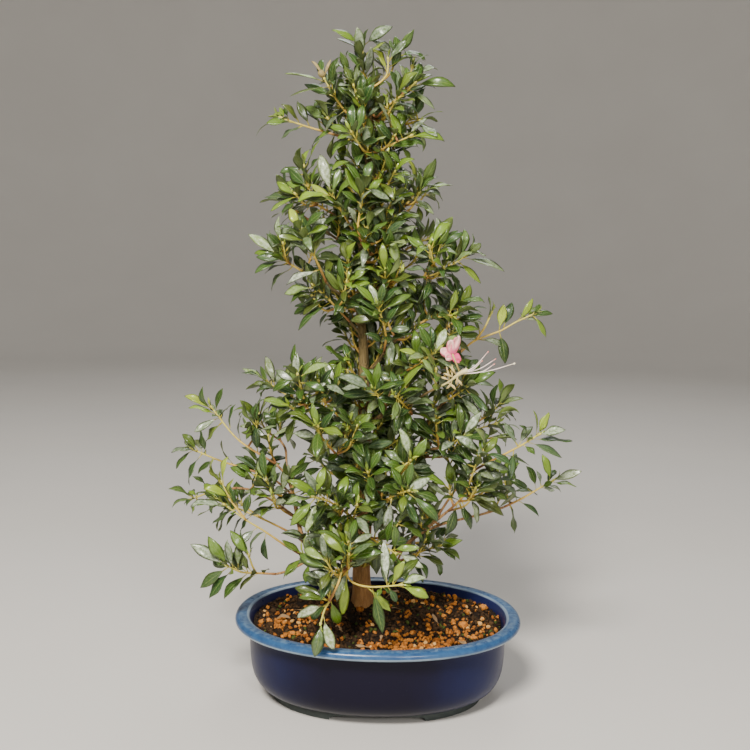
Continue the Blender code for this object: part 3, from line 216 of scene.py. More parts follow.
# Sprays by rule: how far the crown reaches from its axis, in mm, at these heights in mm
CROWN_OUTLINE = ((96, 96), (130, 140), (175, 158), (220, 150), (265, 126), (300, 100), (340, 98),
                 (385, 96), (440, 74), (500, 58), (560, 34))
RULE_SPRAYS = 12
RULE_LOWEST = 0.118
RULE_HIGHEST = 0.510
RULE_FAN = math.radians(205)
RULE_FIRST_TURN = 0.3
RULE_FLATTENING = 0.86

# Their stems' points as shares of the reach there: outward, across and up
RULE_START = (0.42, 0.0, -0.10)
RULE_BEND = (0.60, 0.05, 0.0)
RULE_END_RISE = 0.10
RULE_END_BACK = 0.6
RULE_FORK_END = (0.20, -0.24, 0.04)
RULE_LEAVES = 9
HIDDEN_LEAVES = 1
TIP_REACH = 0.024
TURNED_COST = 0.006
STEM_TAPER = 0.35
STEM_START = 0.6

# How far a spray may move to be clear of the others, in mm, in the order tried
NUDGES = (0, 4, -4, 8, -8, 12, -12, 16, -16)

# Whorls: their spacing and half length, the first and last on a twig, and a leaf's least turn outward
SEAT_STEP = 0.0048
SEAT_HALF = 0.0005
FIRST_SEAT = 0.0017
SEATED_SHARE = 0.86
SEAT_TURN = 0.25

# Leaves: the part near the root that may touch others, lengths, tries, the blade's stations and spreads
CLEAR_START = 0.13
FOOT_START = 0.04
SHORTEST = 0.009
LONGEST = 0.040
LEAF_TRIES = 18
TRIES_PER_SEAT = 3
LONG_LEAF = 0.032
LONG_STATIONS = ((0.28, 0.74), (0.56, 1.0), (0.82, 0.62))
SHORT_STATIONS = ((0.36, 0.92), (0.72, 0.78))
FOLD = 0.26
WIDTH_SPREAD = (0.84, 1.12)
LENGTH_SPREAD = (0.72, 1.14)
WIDTH_GROWTH = 0.6
BOW_SPREAD = (0.02, 0.11)
LEAN_SPREAD = (-0.55, 0.30)
OPENING_SPREAD = (36, 76)
TRY_LEAN = 0.15
MOST_LEAN = 0.02
RISE_SHARE = 0.12
RULE_ASTRAY = 0.25
RULE_WHORL = 6
BACK_WHORLS = 12
BACK_CHOICES = 4
SEATS_KEPT = 8
CLEARANCE = 1.6

# How much of a leaf's upper face looks up, out from the trunk, toward the light in front, and astray
LOOK_UP = 0.62
LOOK_OUT = 0.35
LOOK_FRONT = 0.5
LOOK_ASTRAY = 0.32

# Branches: how they leave the wood and arrive at a stem, and what makes a starting point dear
BRANCH_SIDES = 3
BRANCH_RISE = 0.25
BRANCH_ARRIVAL = 0.8
SHORTEST_BRANCH = 0.006
LONGER_BRANCHES = (0.03, 0.06)
BARE_FOOT = 0.03
LEAST_RISE = 0.002
BRANCH_TRIES = 40
CLEARING_SIDES = 5
TURN_COST = 0.5
REACH_COST = 0.5
ABOVE_COST = 3
CROWD_COST = 0.006
PIPE_POWER = 2.3

# The trunk's taper above the soil, and its flare at the foot
TRUNK_SIDES = 9
TAPER_HEIGHT = 0.44
TAPER_POWER = 1.25
TAPER_SHARE = 0.82
APEX_SHARE = 0.19
FLARE_HEIGHT = 0.012
FLARE_SHARE = 0.09

# The spent flower and the seed capsule, in photo pixels
FLOWER_DEPTH = -0.060
FLOWER_STALK = ((436, 388), (447, 383), (459, 374))
FLOWER_THREADS = (((474, 367), (487, 353)), ((479, 369), (494, 360)), ((488, 371), (513, 364)),
                  ((472, 370), (481, 362)), ((481, 372), (493, 365)))
PETAL_CROWN = (452, 353)
PETAL_TIPS = ((458, 335), (440, 350), (460, 361), (450, 339), (445, 358))
PETAL_WIDTH = 0.0085
PETAL_BOW = 0.002
PETAL_LEAN = 0.004
PETAL_ROOT = 0.9
PETAL_LOOKS = (Vector((0.5, -1, 0)), Vector((0, -1, 0.3)))
PETAL_STALK = (0.0011, 0.0020)
PETAL_SIDES = 6
CALYX_LENGTH = 0.0075
CALYX_RADII = (0.0017, 0.0022)
STALK_RADII = (0.0009, 0.0009, *CALYX_RADII)
STALK_SIDES = 6
THREAD_LEAN = 0.004
THREAD_RADII = (0.0005, 0.0010, 0.0006)
THREAD_KNOB = 0.0012
THREAD_SIDES = 4
CAPSULE_BRACTS = ((311, 61), (331, 59))
BRACT_LOOK = Vector((0.2, -1, 0.3))
BRACT_WIDTH = 0.0034
BRACT_BOW = 0.002

# The capsule's rings: how far past the stem's end in mm, and their radii
CAPSULE_STEPS = (0, 2, 3.6, 6.0, 8.0, 9.4)
CAPSULE_RADII = (0.0007, 0.0008, 0.0023, 0.0028, 0.0021, 0.0007)
CAPSULE_RIBS = 7

# The pot's section from under the foot round to the inside: inset from its outer oval and height, in mm
POT_SECTION = ((33, 0), (32.6, 6.4), (28, 8.4), (21, 14), (16, 24), (13.8, 40), (13.4, 63),
               (11.4, 65.4), (4, 65.8), (0.6, 68), (0.6, 71.6), (4, 74), (10.2, 73.6), (14, 71.2),
               (17, 65), (19, 45), (22, 25), (36, 13.5))
FOOT_INSIDE = (41, 7)
OVAL_POWER = 2.15
POT_SIDES = 28
FOOT_GAP_HALF = 0.041
FOOT_GAP_HEIGHT = 0.006
FOOT_GAP_ASIDE = 0.004
ARCH_POWER = 0.5
DRAIN_RADIUS = 0.007
DRAIN_ASIDE = 0.045
DRAIN_CUT = (-0.01, 0.03)

# The soil's top, in metres
SOIL_EDGE_HEIGHT = 0.0665
SOIL_MOUND = 0.0045
SOIL_RELIEF = 0.0016
SOIL_JITTER = 0.8
SOIL_WALL_INSET = 17.0
MOUND_POWER = 1.5
BUMP_WAVES = (410, 470)
BUMP_SWAYS = ((2.1, 330), (1.7, 290))
SOIL_SIDES = 28
SOIL_RINGS = 7
TRUNK_SUNK = 0.022
HOLE_GAP = 1.5 * GAP

# Fine leaves: rows from stalk to tip, columns from edge to edge, and how they vary
LEAF_ROWS = (0.0, 0.10, 0.19, 0.30, 0.43, 0.56, 0.69, 0.81, 0.92)
LEAF_COLUMNS = (-1.0, -0.5, 0.0, 0.5, 1.0)
LEAF_THICKNESS = 0.00035
STALK_WIDTH = 0.0009
STALK_SHARE = 0.17
WIDEST_POWER = 1.05
POINT_POWER = 0.92
LEAF_TWIST = 0.9
LEAF_RIPPLE = 0.12
LEAF_DROOP = 0.22
DROOP_SPREAD = (-0.3, 1.0)
FOLD_SPREAD = (0.4, 1.5)
CURL_SPREAD = (0.0, 0.9)
TWIST_CENTRE = 0.35
RIPPLE_WAVES = (11, 0.8)
LEAF_NARROWING = 0.86
FIT_TRIES = 8
TIP_STEP = 0.0004
LEAF_SLOT = 0
STEM_SLOT = 1

# Photo pixels of the leaf tips that get a painted sheen, and of those that look young
PAINTED_SHEEN_TIPS = {(320, 154), (436, 217), (248, 234), (286, 285), (482, 411), (190, 544), (384, 530),
               (566, 430), (582, 471), (297, 352), (292, 434), (369, 284), (357, 27), (427, 118),
               (424, 568), (304, 573), (190, 507), (384, 540), (334, 650), (297, 618), (427, 578),
               (446, 328), (398, 428), (430, 478)}
YOUNG_TIPS = {(203, 489), (234, 478), (213, 458), (229, 456), (297, 203), (310, 184), (301, 168),
              (188, 408), (184, 396), (546, 338), (504, 304), (533, 298), (391, 612), (405, 560),
              (403, 158), (398, 350), (290, 208), (386, 42), (372, 49), (275, 396), (549, 412),
              (533, 410), (376, 572), (429, 598), (342, 616)}

# The spray that carries the seed capsule, and how the names of the sprays by rule start
CAPSULE_SPRAY = "crown_left"
CAPSULE_DEPTH = -0.011
BACK = "back_"

# Leaves that only the fine model has, fewer and shorter on the shoots that the photograph shows bare
FILL_LEAVES = 13
FILL_TRIES = 18
FILL_WHORL = 6
FILL_OPENING = (28, 88)
FILL_LENGTH = (0.70, 1.16)
FILL_ASTRAY = 0.3
FILL_RISE = 0.1
FILL_FRONT = -0.7
FEWEST_SEATS = 3
BARE_SHOOTS = {"left_reach", "left_far", "left_top", "left_faint", "right_reach", "right_end",
               "right_low_reach", "low_left_long", "front_hanging"}
BARE_LEAVES = 4
BARE_LENGTH = (0.35, 0.62)

# Side shoots that only the fine model has: how they leave the wood, and the room that each one needs
SHOOTS = 240
SHOOT_TRIES = 30
SHOOT_LENGTH = (0.016, 0.040)
SHOOT_CORE = 0.05
SHOOT_OUT = 0.7
SHOOT_RISE = (-0.2, 0.8)
SHOOT_LIFT = 0.45
SHOOT_STEPS = 3
SHOOT_SIDES = 5
SHOOT_MARGIN = 0.012
PROBE_LENGTH = 0.016
PROBE_WIDTH = 0.012
SHOOT_YOUTH = 0.1
SHOOT_LEAVES = 10
SHOOT_BANDS = 8
TRUNK_SHOOTS = 0.45

# The crown's left and right edge at some heights of the photograph, and where it shows bare things
CROWN_EDGES = ((34, 352, 400), (60, 326, 428), (100, 296, 440), (150, 300, 430), (200, 282, 436),
               (240, 268, 466), (280, 272, 490), (320, 306, 490), (350, 300, 486), (400, 262, 500),
               (440, 256, 512), (480, 252, 520), (520, 262, 508), (560, 290, 446), (590, 300, 430))
SHOOT_SPAN = 0.86
LOWEST_SHOOT = 0.112
LOWEST_TRUNK_SHOOT = 0.190
TRUNK_SHOOT_STEPS = 4
BARE_SPOTS = (((349, 324), (386, 374), TREE_PLANE), ((348, 568), (373, 606), TREE_PLANE),
              ((438, 333), (520, 392), TREE_PLANE + FLOWER_DEPTH + 0.006),
              ((309, 58), (331, 84), TREE_PLANE + CAPSULE_DEPTH))
LEAF_CHECKS = (0.25, 0.5, 0.75, 1.0)
BOX_MARGIN = 0.0012

# Fine stems and the buds and small leaves at their ends
BUD_LEAF_LENGTH = (0.006, 0.013)
BUD_LEAF_COUNTS = (2, 3, 3)
BUD_OPENING = (0.25, 0.75)
BUD_RISE = 0.15
BUD_SEAT = 0.3
BUD_LEAN = 0.4
BUD_WIDTH = 0.28
BUD_BOW = 0.1
BUD_SECTION = ((0.0006, 0.0011), (0.0016, 0.0013), (0.0028, 0.0008), (0.0038, 0.0002))
STEM_SWELL = 0.07
STEM_WAVES = 40
STEM_STEPS = 3
STEM_SIDES = 8
STEM_YOUTH = (0.15, 0.35)

# Tones: how young a leaf or a stem is, how much painted sheen it has, and chance. Leaves are younger toward
# a stem's end
ZEROS = (0.0, 0.0, 0.0)
PLAIN_TONE = (0.0, 0.0, 0.5)
BUD_YOUTH = (0.78, 1.0)
YOUNG_LEAF = (0.74, 0.92)
PAINTED_SHEEN_LEAF = (0.5, 0.85)
OTHER_PAINTED_SHEEN = (-0.9, 0.42)
END_YOUTH = 0.53
YOUTH_LOST = 0.46
YOUTH_SPREAD = 0.22
LEAST_YOUTH = 0.04
AGE_SPAN = 0.040

# Fine wood
TRUNK_STEPS = 12
FINE_TRUNK_SIDES = 28
RIDGE_DEPTH = 0.14
RIDGE_TURN = 2.2
RIDGE_RISE = 22
RIDGE_WAVES = 1.6
KNOT_DEPTH = 0.10
KNOT_WAVES = 70
ROOT_FLARE = 0.0030
ROOTS = 5
ROOT_TURN = 0.6
BRANCH_STEPS = 5
FINE_BRANCH_SIDES = 9
BRANCH_RELIEF = 0.10
BRANCH_WAVES = 160
BRANCH_YOUTH = 0.3
COLLAR = 0.45
COLLAR_REACH = 1.5
INNER_SHARE = 0.92

# The fine pot's section: its foot with softened edges, then the same body, rim and inside
POT_FOOT = (FOOT_INSIDE, (41, 0.9), (40.2, 0.2), (39.4, 0), (34.4, 0), (33.4, 0.2), (33, 1.0),
            POT_SECTION[1])
POT_BODY = ((30.5, 7.6), *POT_SECTION[2:7])
POT_RIM = POT_SECTION[7:14]
POT_INSIDE = POT_SECTION[14:]
SECTION_STEPS = 4
CREST_INSET = 0.0108
FINE_POT_SIDES = 144
SHARP_ANGLE = math.radians(40)
ARCH_STEPS = 24
DRAIN_SIDES = 32

# Fine soil and what lies on it
SOIL_INSET = 16.6
FINE_SOIL_SIDES = 160
FINE_SOIL_RINGS = 44
HEAP_HEIGHT = 0.0058
HEAP_REACH = 0.024
SOIL_BUMPS = 0.0011
SOIL_WAVES = ((260, 0, 0.5), (620, 9, 0.4))
SOIL_CENTRE = 0.02
SOIL_LOWERED = 0.0006
SOIL_SKIRT = 0.012
GRAIN_TRIES = 2900
ORANGE_PATCHES = ((0.080, -0.040, 0.042, 0.30), (0.036, -0.078, 0.026, 1.80),
                  (0.004, -0.082, 0.014, 1.40), (0.076, 0.036, 0.030, 0.24),
                  (-0.078, -0.012, 0.020, 0.45), (-0.066, -0.050, 0.012, 0.50),
                  (-0.040, 0.070, 0.018, 0.20))
PATCH_REACH = 1.6
FEWEST_ORANGE = 0.03
CLUMP_WAVES = 115
CLUMP_DEPTH = 0.9
GRAIN_BALL = (5, 8)
GRAIN_SIZE = (0.0011, 0.0023)
BIG_GRAINS = 0.07
BIG_SIZE = 1.7
CRUMB_SIZE = 0.72
PALE_GRAINS = 0.09
MOSSY_CRUMBS = 0.07
GRAIN_ROOM = 1.3
TRUNK_ROOM = 0.001
GRAIN_RELIEF = 0.42
GRAIN_WAVES = 1.3
GRAIN_DRIFT = 50
GRAIN_TURN = 6.28
GRAIN_SPREADS = ((0.8, 1.2), (0.8, 1.2), (0.6, 0.95))
GRAIN_LIFT = (0.05, 0.45)
LITTER = 16
LITTER_ROOM = 0.012
LITTER_LENGTH = (0.008, 0.019)
LITTER_LIFT = 0.0022
LITTER_RISE = (0.0, 0.25)
LITTER_TILT = 0.4
LITTER_WIDTH = 0.36
LITTER_BOW = (-0.1, 0.2)

# Fine flower and capsule
FINE_THREAD_RADII = (0.00050, 0.00028)
FINE_THREAD_SIDES = 8
FINE_THREAD_STEPS = 8
FINE_STALK_STEPS = 4
STALK_COLOURS = (0.0, 0.5)
THREAD_COLOURS = (0.55, 1.0)
THREAD_TONE = (0.5, 0.0, 0.5)
STYLE = 2
ANTHER_SHARE = 0.7
KNOB_SECTION = ((0.0006, 0.0007), (0.0014, 0.0009), (0.0021, 0.0004))
FINE_STALK_SIDES = 16
CALYX_END = ((0.0004, 0.0018), (0.0008, 0.0007))
FINE_PETAL_STALK = (0.0006, 0.0009)
PETAL_STALK_PLACE = (0.0, 0.5, 1.0)
DEEP_PETAL = 2
WITHERED_BITS = (((449, 382), (446, 366)), ((452, 380), (452, 364)), ((454, 378), (443, 373)),
                 ((455, 377), (462, 386)), ((448, 383), (456, 390)), ((450, 381), (440, 377)),
                 ((456, 376), (449, 366)), ((458, 375), (456, 385)), ((452, 380), (446, 389)))
BIT_WIDTH = 0.0027
PETAL_ROWS = 10
PETAL_COLUMNS = 10
PETAL_THICKNESS = 0.0004
PETAL_SPREAD = (0.18, 0.82)
PETAL_SWEEP = 0.78
PETAL_NECK = 0.04
PETAL_ROUNDNESS = 0.8
PETAL_CORNERS = 0.12
PETAL_CUP = 0.0018
CRUMPLE_DRIFT = 40
CRUMPLE_ACROSS = 1.9
CRUMPLE_ALONG = 2.4
CRUMPLE_DEPTH = 0.0026
FOLD_WAVES = 5
FOLD_DEPTH = 0.0005
FINE_CAPSULE_STEPS = 4
CAPSULE_SIDES = 20
CAPSULE_THINNEST = 0.0005
CAPSULE_GROOVES = 5
GROOVE_DEPTH = 0.07
CAPSULE_TONE = (0.4, 0.0, 0.5)
BRACT_TONE = (0.6, 0.0, 0.5)

# Ramps of places and linear colours
LEAF_GREENS = ((0.0, (0.009, 0.027, 0.005)), (0.25, (0.015, 0.044, 0.005)),
               (0.5, (0.037, 0.092, 0.006)), (0.75, (0.215, 0.350, 0.018)), (1.0, (0.48, 0.55, 0.055)))
TWIG_BARK = ((0.0, (0.16, 0.060, 0.030)), (0.25, (0.36, 0.17, 0.045)), (0.50, (0.62, 0.42, 0.060)),
             (1.0, (0.56, 0.53, 0.095)))
BARK_STREAKS = ((0.25, (0.085, 0.042, 0.018)), (0.42, (0.25, 0.130, 0.048)),
                (0.60, (0.44, 0.250, 0.095)), (0.80, (0.54, 0.35, 0.165)))
PETAL_PINKS = ((0.0, (0.70, 0.03, 0.20)), (0.25, (0.84, 0.14, 0.30)), (0.48, (0.96, 0.48, 0.45)),
               (1.0, (0.98, 0.62, 0.56)))
THREAD_RAMP = ((0.0, (0.30, 0.30, 0.06)), (0.30, (0.60, 0.52, 0.20)), (0.5, (0.84, 0.80, 0.42)),
               (0.6, (0.90, 0.82, 0.74)), (0.86, (0.90, 0.76, 0.72)), (1.0, (0.55, 0.12, 0.08)))

# Layers: a smooth step from one value to another, with the shares there, and the colour laid over
Layer = namedtuple("Layer", "step colour")
LEAF_PATCHES = Layer((0.35, 0.7, 0.0, 0.28), (0.07, 0.125, 0.012))
LEAF_BLUISH = Layer((0.55, 1.0, 0.0, 0.45), (0.015, 0.055, 0.020))
LEAF_OLIVE = Layer((0.35, 0.0, 0.0, 0.30), (0.17, 0.17, 0.022))
LEAF_STALK = Layer((0.08, 0.26, 0.95, 0.0), (0.52, 0.43, 0.055))
TWIG_FLECKS = Layer((0.45, 0.75, 0.0, 0.4), (0.20, 0.095, 0.040))
BARK_PATCHES = Layer((0.50, 0.68, 0.0, 0.55), (0.29, 0.165, 0.055))
BARK_RUST = Layer((0.60, 0.72, 0.0, 0.6), (0.28, 0.105, 0.040))
BARK_ABOVE = Layer((0.20, 0.29, 0.0, 0.75), (0.118, 0.100, 0.033))
BARK_FOOT = Layer((0.135, 0.085, 0.0, 0.60), (0.50, 0.235, 0.066))
PETAL_BORDER = Layer((0.45, 0.90, 0.0, 0.85), (0.86, 0.17, 0.27))
PETAL_VEINS = Layer((0.4, 1.0, 0.0, 0.15), (0.72, 0.14, 0.28))
THREAD_BLUSH = Layer((0.4, 0.7, 0.0, 0.3), (0.80, 0.50, 0.42))

# Other colours, in pairs where two are mixed
# The pale colour of the painted sheen on leaves
LEAF_PAINTED_SHEEN = (0.68, 0.74, 0.60)
LEAF_VEINS = (0.17, 0.25, 0.06)
LEAF_UNDERSIDE = (0.15, 0.195, 0.055)
LEAF_RIB = (0.27, 0.34, 0.085)
GLAZE_BODY = ((0.0042, 0.0032, 0.0130), (0.009, 0.013, 0.060))
GLAZE_RIM = ((0.016, 0.056, 0.150), (0.033, 0.102, 0.222))
GLAZE_WORN = (0.26, 0.38, 0.48)
# Pale colour of the rim's edges: thin glaze, and painted highlight on the lower one
GLAZE_THIN_AND_HIGHLIGHT = (0.34, 0.44, 0.52)
GLAZE_SPECKS = (0.20, 0.26, 0.38)
FOOT_CLAY = ((0.020, 0.028, 0.028), (0.065, 0.075, 0.070))
HUMUS = ((0.014, 0.009, 0.006), (0.055, 0.034, 0.020))
BAKED_CLAY = ((0.19, 0.052, 0.010), (0.68, 0.265, 0.048))
PALE_CLAY = (0.74, 0.42, 0.14)
CRUMBS = ((0.015, 0.009, 0.005), (0.095, 0.050, 0.022))
MOSS = (0.070, 0.095, 0.020)
DRY_LEAF = ((0.16, 0.085, 0.035), (0.36, 0.23, 0.11))
WITHERED = ((0.30, 0.20, 0.06), (0.72, 0.60, 0.26))
CAPSULE_TAN = ((0.16, 0.11, 0.035), (0.42, 0.33, 0.13))
PETAL_DEEP = (0.78, 0.025, 0.19)
PETAL_STALK_TAN = (0.48, 0.37, 0.12)
STYLE_CREAM = (0.90, 0.84, 0.60)
FLOOR_GREYS = ((0.60, 0.58, 0.55), (0.66, 0.64, 0.61))
WORLD_COLOUR = (0.84, 0.83, 0.81)

# Noise and cells: waves to the metre, with their detail and roughness where these aren't the usual
LEAF_SHEEN_PATCHES = (330, 5, 0.7)
LEAF_CLOUDS = 150
LEAF_SHEEN = 90
LEAF_PORES = 900
TWIG_GRAIN = 500
TWIG_PORES = 1400
BARK_GRAIN = (330, 6, 0.5)
BARK_CLOUDS = (48, 4)
BARK_SPOTS = (75, 3)
BARK_PLATES = 420
GLAZE_CLOUDS = (22, 4)
GLAZE_GRAIN = (240, 4)
GLAZE_SWELL = (45, 2)
RIM_CLOUDS = (150, 6, 0.7)
SPECK_CELLS = 520
SPECK_CLOUDS = (160, 2)
HUMUS_WAVES = 150
CLAY_WAVES = 220
PETAL_PORES = 700
THREAD_GRAIN = 500
THREAD_PORES = 900
FLOOR_WAVES = 2.5

# Relief: its strength and its depth in metres
LEAF_BUMP = (0.5, 0.0006)
TWIG_BUMP = (0.4, 0.0004)
BARK_BUMP = (0.8, 0.0012)
GLAZE_BUMP = (0.22, 0.0012)
GROUND_BUMP = (0.9, 0.0009)
PETAL_BUMP = (0.4, 0.0005)
THREAD_BUMP = (0.2, 0.0003)

# The leaf's midrib and side veins, the patches of its painted sheen, and its matt underside
RIB_STEP = (0.02, 0.085, 1.0, 0.0)
RIB_SHARE = 0.38
VEINS = 8.5
VEIN_SLANT = 1.5
VEIN_STEP = (0.80, 1.0)
VEIN_SHARE = 0.25
VEIN_DEPTH = 0.6
PORE_DEPTH = 0.25
SHEEN_PATCH_STEP = (0.36, 0.62, 0.25, 1.0)
SHEEN_PATCH_EDGE = (0.50, 0.95, 1.0, 0.30)
UNDERSIDE_SHARE = 0.75
MATT_STEP = (0.4, 1.0, 0.30, 0.55)
SHEEN_SHARE = 0.14

# The bark's stretch along the trunk and its plates
BARK_STRETCH = (1.0, 1.0, 0.22)
PLATE_STEP = (0.0, 0.16)
PLATE_DEPTH = 0.6

# The glaze: paler ends, with painted light on the right, the heights in metres of the rim's parts, and how
# far out these are
PAINTED_LIGHT_SLANT = 0.16
END_CLOUDS = 0.05
END_STEP = (0.055, 0.145)
RIM_HEIGHT = (0.0655, 0.0690)
RIM_OUT = (0.96, 1.0)
RIM_STEP = (0.34, 0.70)
RIM_SPECULAR = (0.0, 1.0, 0.12, 0.40)
CREST_HEIGHT = (0.0730, 0.0742)
WORN_STEP = (0.40, 0.62)
WORN_SHARE = 0.28
INNER_EDGE_OUT = ((0.958, 0.975), (1.014, 0.998))
INNER_EDGE_HEIGHT = (0.0700, 0.0715)
# The rim's lower outer edge, where the pale colour is painted highlight as well as thin glaze
LOWER_EDGE_OUT = (1.12, 1.16)
LOWER_EDGE_HEIGHT = ((0.0662, 0.0670), (0.0694, 0.0683))
THIN_AND_HIGHLIGHT_STEP = (0.35, 0.60, 0.3, 0.75)
SPECK_STEP = (0.0, 0.13, 1.0, 0.0)
SPECK_CLOUD_STEP = (0.55, 0.62)
SPECK_SHARE = 0.35
FOOT_HEIGHT = (0.0060, 0.0085, 1.0, 0.0)
FOOT_ROUGHNESS = 0.75
GLAZE_ROUGHNESS = (0.0655, 0.0700, 0.30, 0.24)
ROUGH_GRAIN = 0.10
GLAZE_GRAIN_DEPTH = 0.06

# Soil, petals and the style: shares of chance, grain, pores and colours, folds, and the style's end
GROUND_CHANCE = 0.75
GROUND_GRAIN = 0.35
GROUND_PORES = (0.42, 0.60, 0.45, 0.0)
PORE_SHADE = 0.35
DEEP_SHARE = 0.85
PETAL_FOLDS = 22.0
STYLE_STEP = (0.80, 0.95)

# Studio: lights as name, place, width, power and colour
SENSOR_WIDTH = 36
FLOOR_GAP = 0.0002
FLOOR_RADIUS = 3.2
FLOOR_BEND = 2.0
WALL_TOP = 5.0
BEND_STEPS = 24
FLOOR_SIDES = 96
WORLD_LIGHT = 0.34
LIT_PLACE = Vector((0, 0, 0.28))
LIGHTS = (("key", (-0.50, -1.60, 1.75), 0.60, 94, (1.0, 0.95, 0.87)),
          ("fill", (0.75, -2.2, 1.15), 0.6, 30, (1.0, 0.97, 0.93)),
          ("back", (0.3, 1.5, 2.2), 1.2, 14, (1.0, 1.0, 1.0)))


def sight(pixel, depth):
    """The place seen at a photo pixel, on the upright plane this many metres behind the trunk."""
    across = (pixel[0] - FRAME_MIDDLE) / FOCAL_PIXELS
    above = (FRAME_MIDDLE - pixel[1]) / FOCAL_PIXELS
    ray = AHEAD + RIGHT * across + TOP * above
    return EYE + ray * ((TREE_PLANE + depth - EYE.y) / ray.y)


TRUNK_FOOT = sight(TRUNK_LINE[0], 0)


def stray(draw, reach=1):
    """A random vector, each of whose parts is at most this long."""
    return Vector([draw.uniform(-reach, reach) for _ in range(3)])


def turned(first, second, angle):
    """The direction at this angle from the first one toward the second."""
    return first * math.cos(angle) + second * math.sin(angle)


def square_to(ahead, vector):
    """The part of the vector square to this direction, at length one."""
    return (vector - ahead * vector.dot(ahead)).normalized()


def turns(sides):
    """The angles of this many even steps round a circle."""
    return [2 * math.pi * k / sides for k in range(sides)]


def lengths_along(line):
    """How far each point of the line is from its start."""
    lengths = [0.0]
    for a, b in zip(line, line[1:]):
        lengths.append(lengths[-1] + (b - a).length)
    return lengths


def ring_quads(rings, sides, inward=False):
    """Quads between each ring of vertices and the next."""
    quads = []
    for first in range(0, (rings - 1) * sides, sides):
        for k in range(sides):
            a = first + k
            b = first + (k + 1) % sides
            quads.append((a, a + sides, b + sides, b) if inward else (a, b, b + sides, a + sides))
    return quads


def halves(quads):
    """The two triangles of each quad."""
    return [half for a, b, c, d in quads for half in ((a, b, c), (a, c, d))]


def smooth_line(points, steps):
    """Points on a Catmull-Rom curve through these, with this many steps for each span."""
    ends = [points[0] * 2 - points[1], *points, points[-1] * 2 - points[-2]]
    line = []
    for i in range(1, len(ends) - 2):
        before, start, end, after = ends[i - 1:i + 3]
        for step in range(steps):
            t = step / steps
            first = (end - before) * t
            second = (2 * before - 5 * start + 4 * end - after) * t ** 2
            third = (3 * start - before - 3 * end + after) * t ** 3
            line.append(0.5 * (2 * start + first + second + third))
    line.append(points[-1].copy())
    return line


def ring_frames(line, last_direction=None):
    """A side vector and a second one at each point, turning as little as they can along the line."""
    side = None
    frames = []
    for i, point in enumerate(line):
        ahead = (line[min(i + 1, len(line) - 1)] - line[max(i - 1, 0)]).normalized()
        if last_direction is not None and i == len(line) - 1:
            ahead = last_direction
        if side is None:
            side = ahead.orthogonal().normalized()
        side = square_to(ahead, side)
        frames.append((point, side, ahead.cross(side)))
    return frames


def tube(line, radii, sides, last_direction=None):
    """Vertices and faces of a closed tube with flat ends."""
    vertices = []
    for (point, side, second), radius in zip(ring_frames(line, last_direction), radii):
        vertices += [point + turned(side, second, angle) * radius for angle in turns(sides)]
    faces = halves(ring_quads(len(line), sides))
    last = (len(line) - 1) * sides
    for k in range(1, sides - 1):
        faces.append((0, k + 1, k))
        faces.append((last, last + k, last + k + 1))
    return vertices, faces


def leaf_axes(leaf):
    """The leaf's run from root to tip, its direction, and its upper face's normal square to that."""
    run = leaf.tip - leaf.root
    ahead = run.normalized()
    return run, ahead, square_to(ahead, leaf.normal)


def blade_rings(leaf, swell=0.0):
    """The blade's rings of four points, left, top, right and under, from its widening to its point."""
    run, ahead, normal = leaf_axes(leaf)
    side = normal.cross(ahead)
    half_blade = BLADE / 2 + swell
    rings = []
    for share, spread in LONG_STATIONS if run.length > LONG_LEAF else SHORT_STATIONS:
        middle = leaf.root + run * share + normal * (leaf.bow * 4 * share * (1 - share))
        half = leaf.width * spread / 2 + swell
        fold = normal * half * FOLD
        rings.append([middle - side * half + fold, middle + normal * half_blade,
                      middle + side * half + fold, middle - normal * half_blade])
    return rings


def blade_faces(first, rings):
    """Faces of the blade from its first ring to its point, with that ring's first vertex given."""
    faces = []
    for ring in range(rings - 1):
        for k in range(4):
            a = first + ring * 4 + k
            b = first + ring * 4 + (k + 1) % 4
            faces += [(a, a + 4, b + 4), (a, b + 4, b)] if k % 2 else [(a, a + 4, b), (b, a + 4, b + 4)]
    last = first + (rings - 1) * 4
    faces += [(last + k, last + 4, last + (k + 1) % 4) for k in range(4)]
    return faces


def blade(leaf, swell=0.0, start=0.0):
    """Vertices and faces of one closed leaf, folded up a little at its midrib."""
    run, ahead, normal = leaf_axes(leaf)
    rings = blade_rings(leaf, swell)
    root = leaf.root + run * start
    vertices = [root + normal * (BLADE / 2 + swell), root - normal * (BLADE / 2 + swell)]
    for ring in rings:
        vertices += ring
    vertices.append(leaf.tip + ahead * swell)
    faces = [(0, 1, 2), (0, 2, 3), (1, 5, 2), (1, 0, 4), (0, 3, 4), (1, 4, 5)]
    return vertices, faces + blade_faces(2, len(rings))


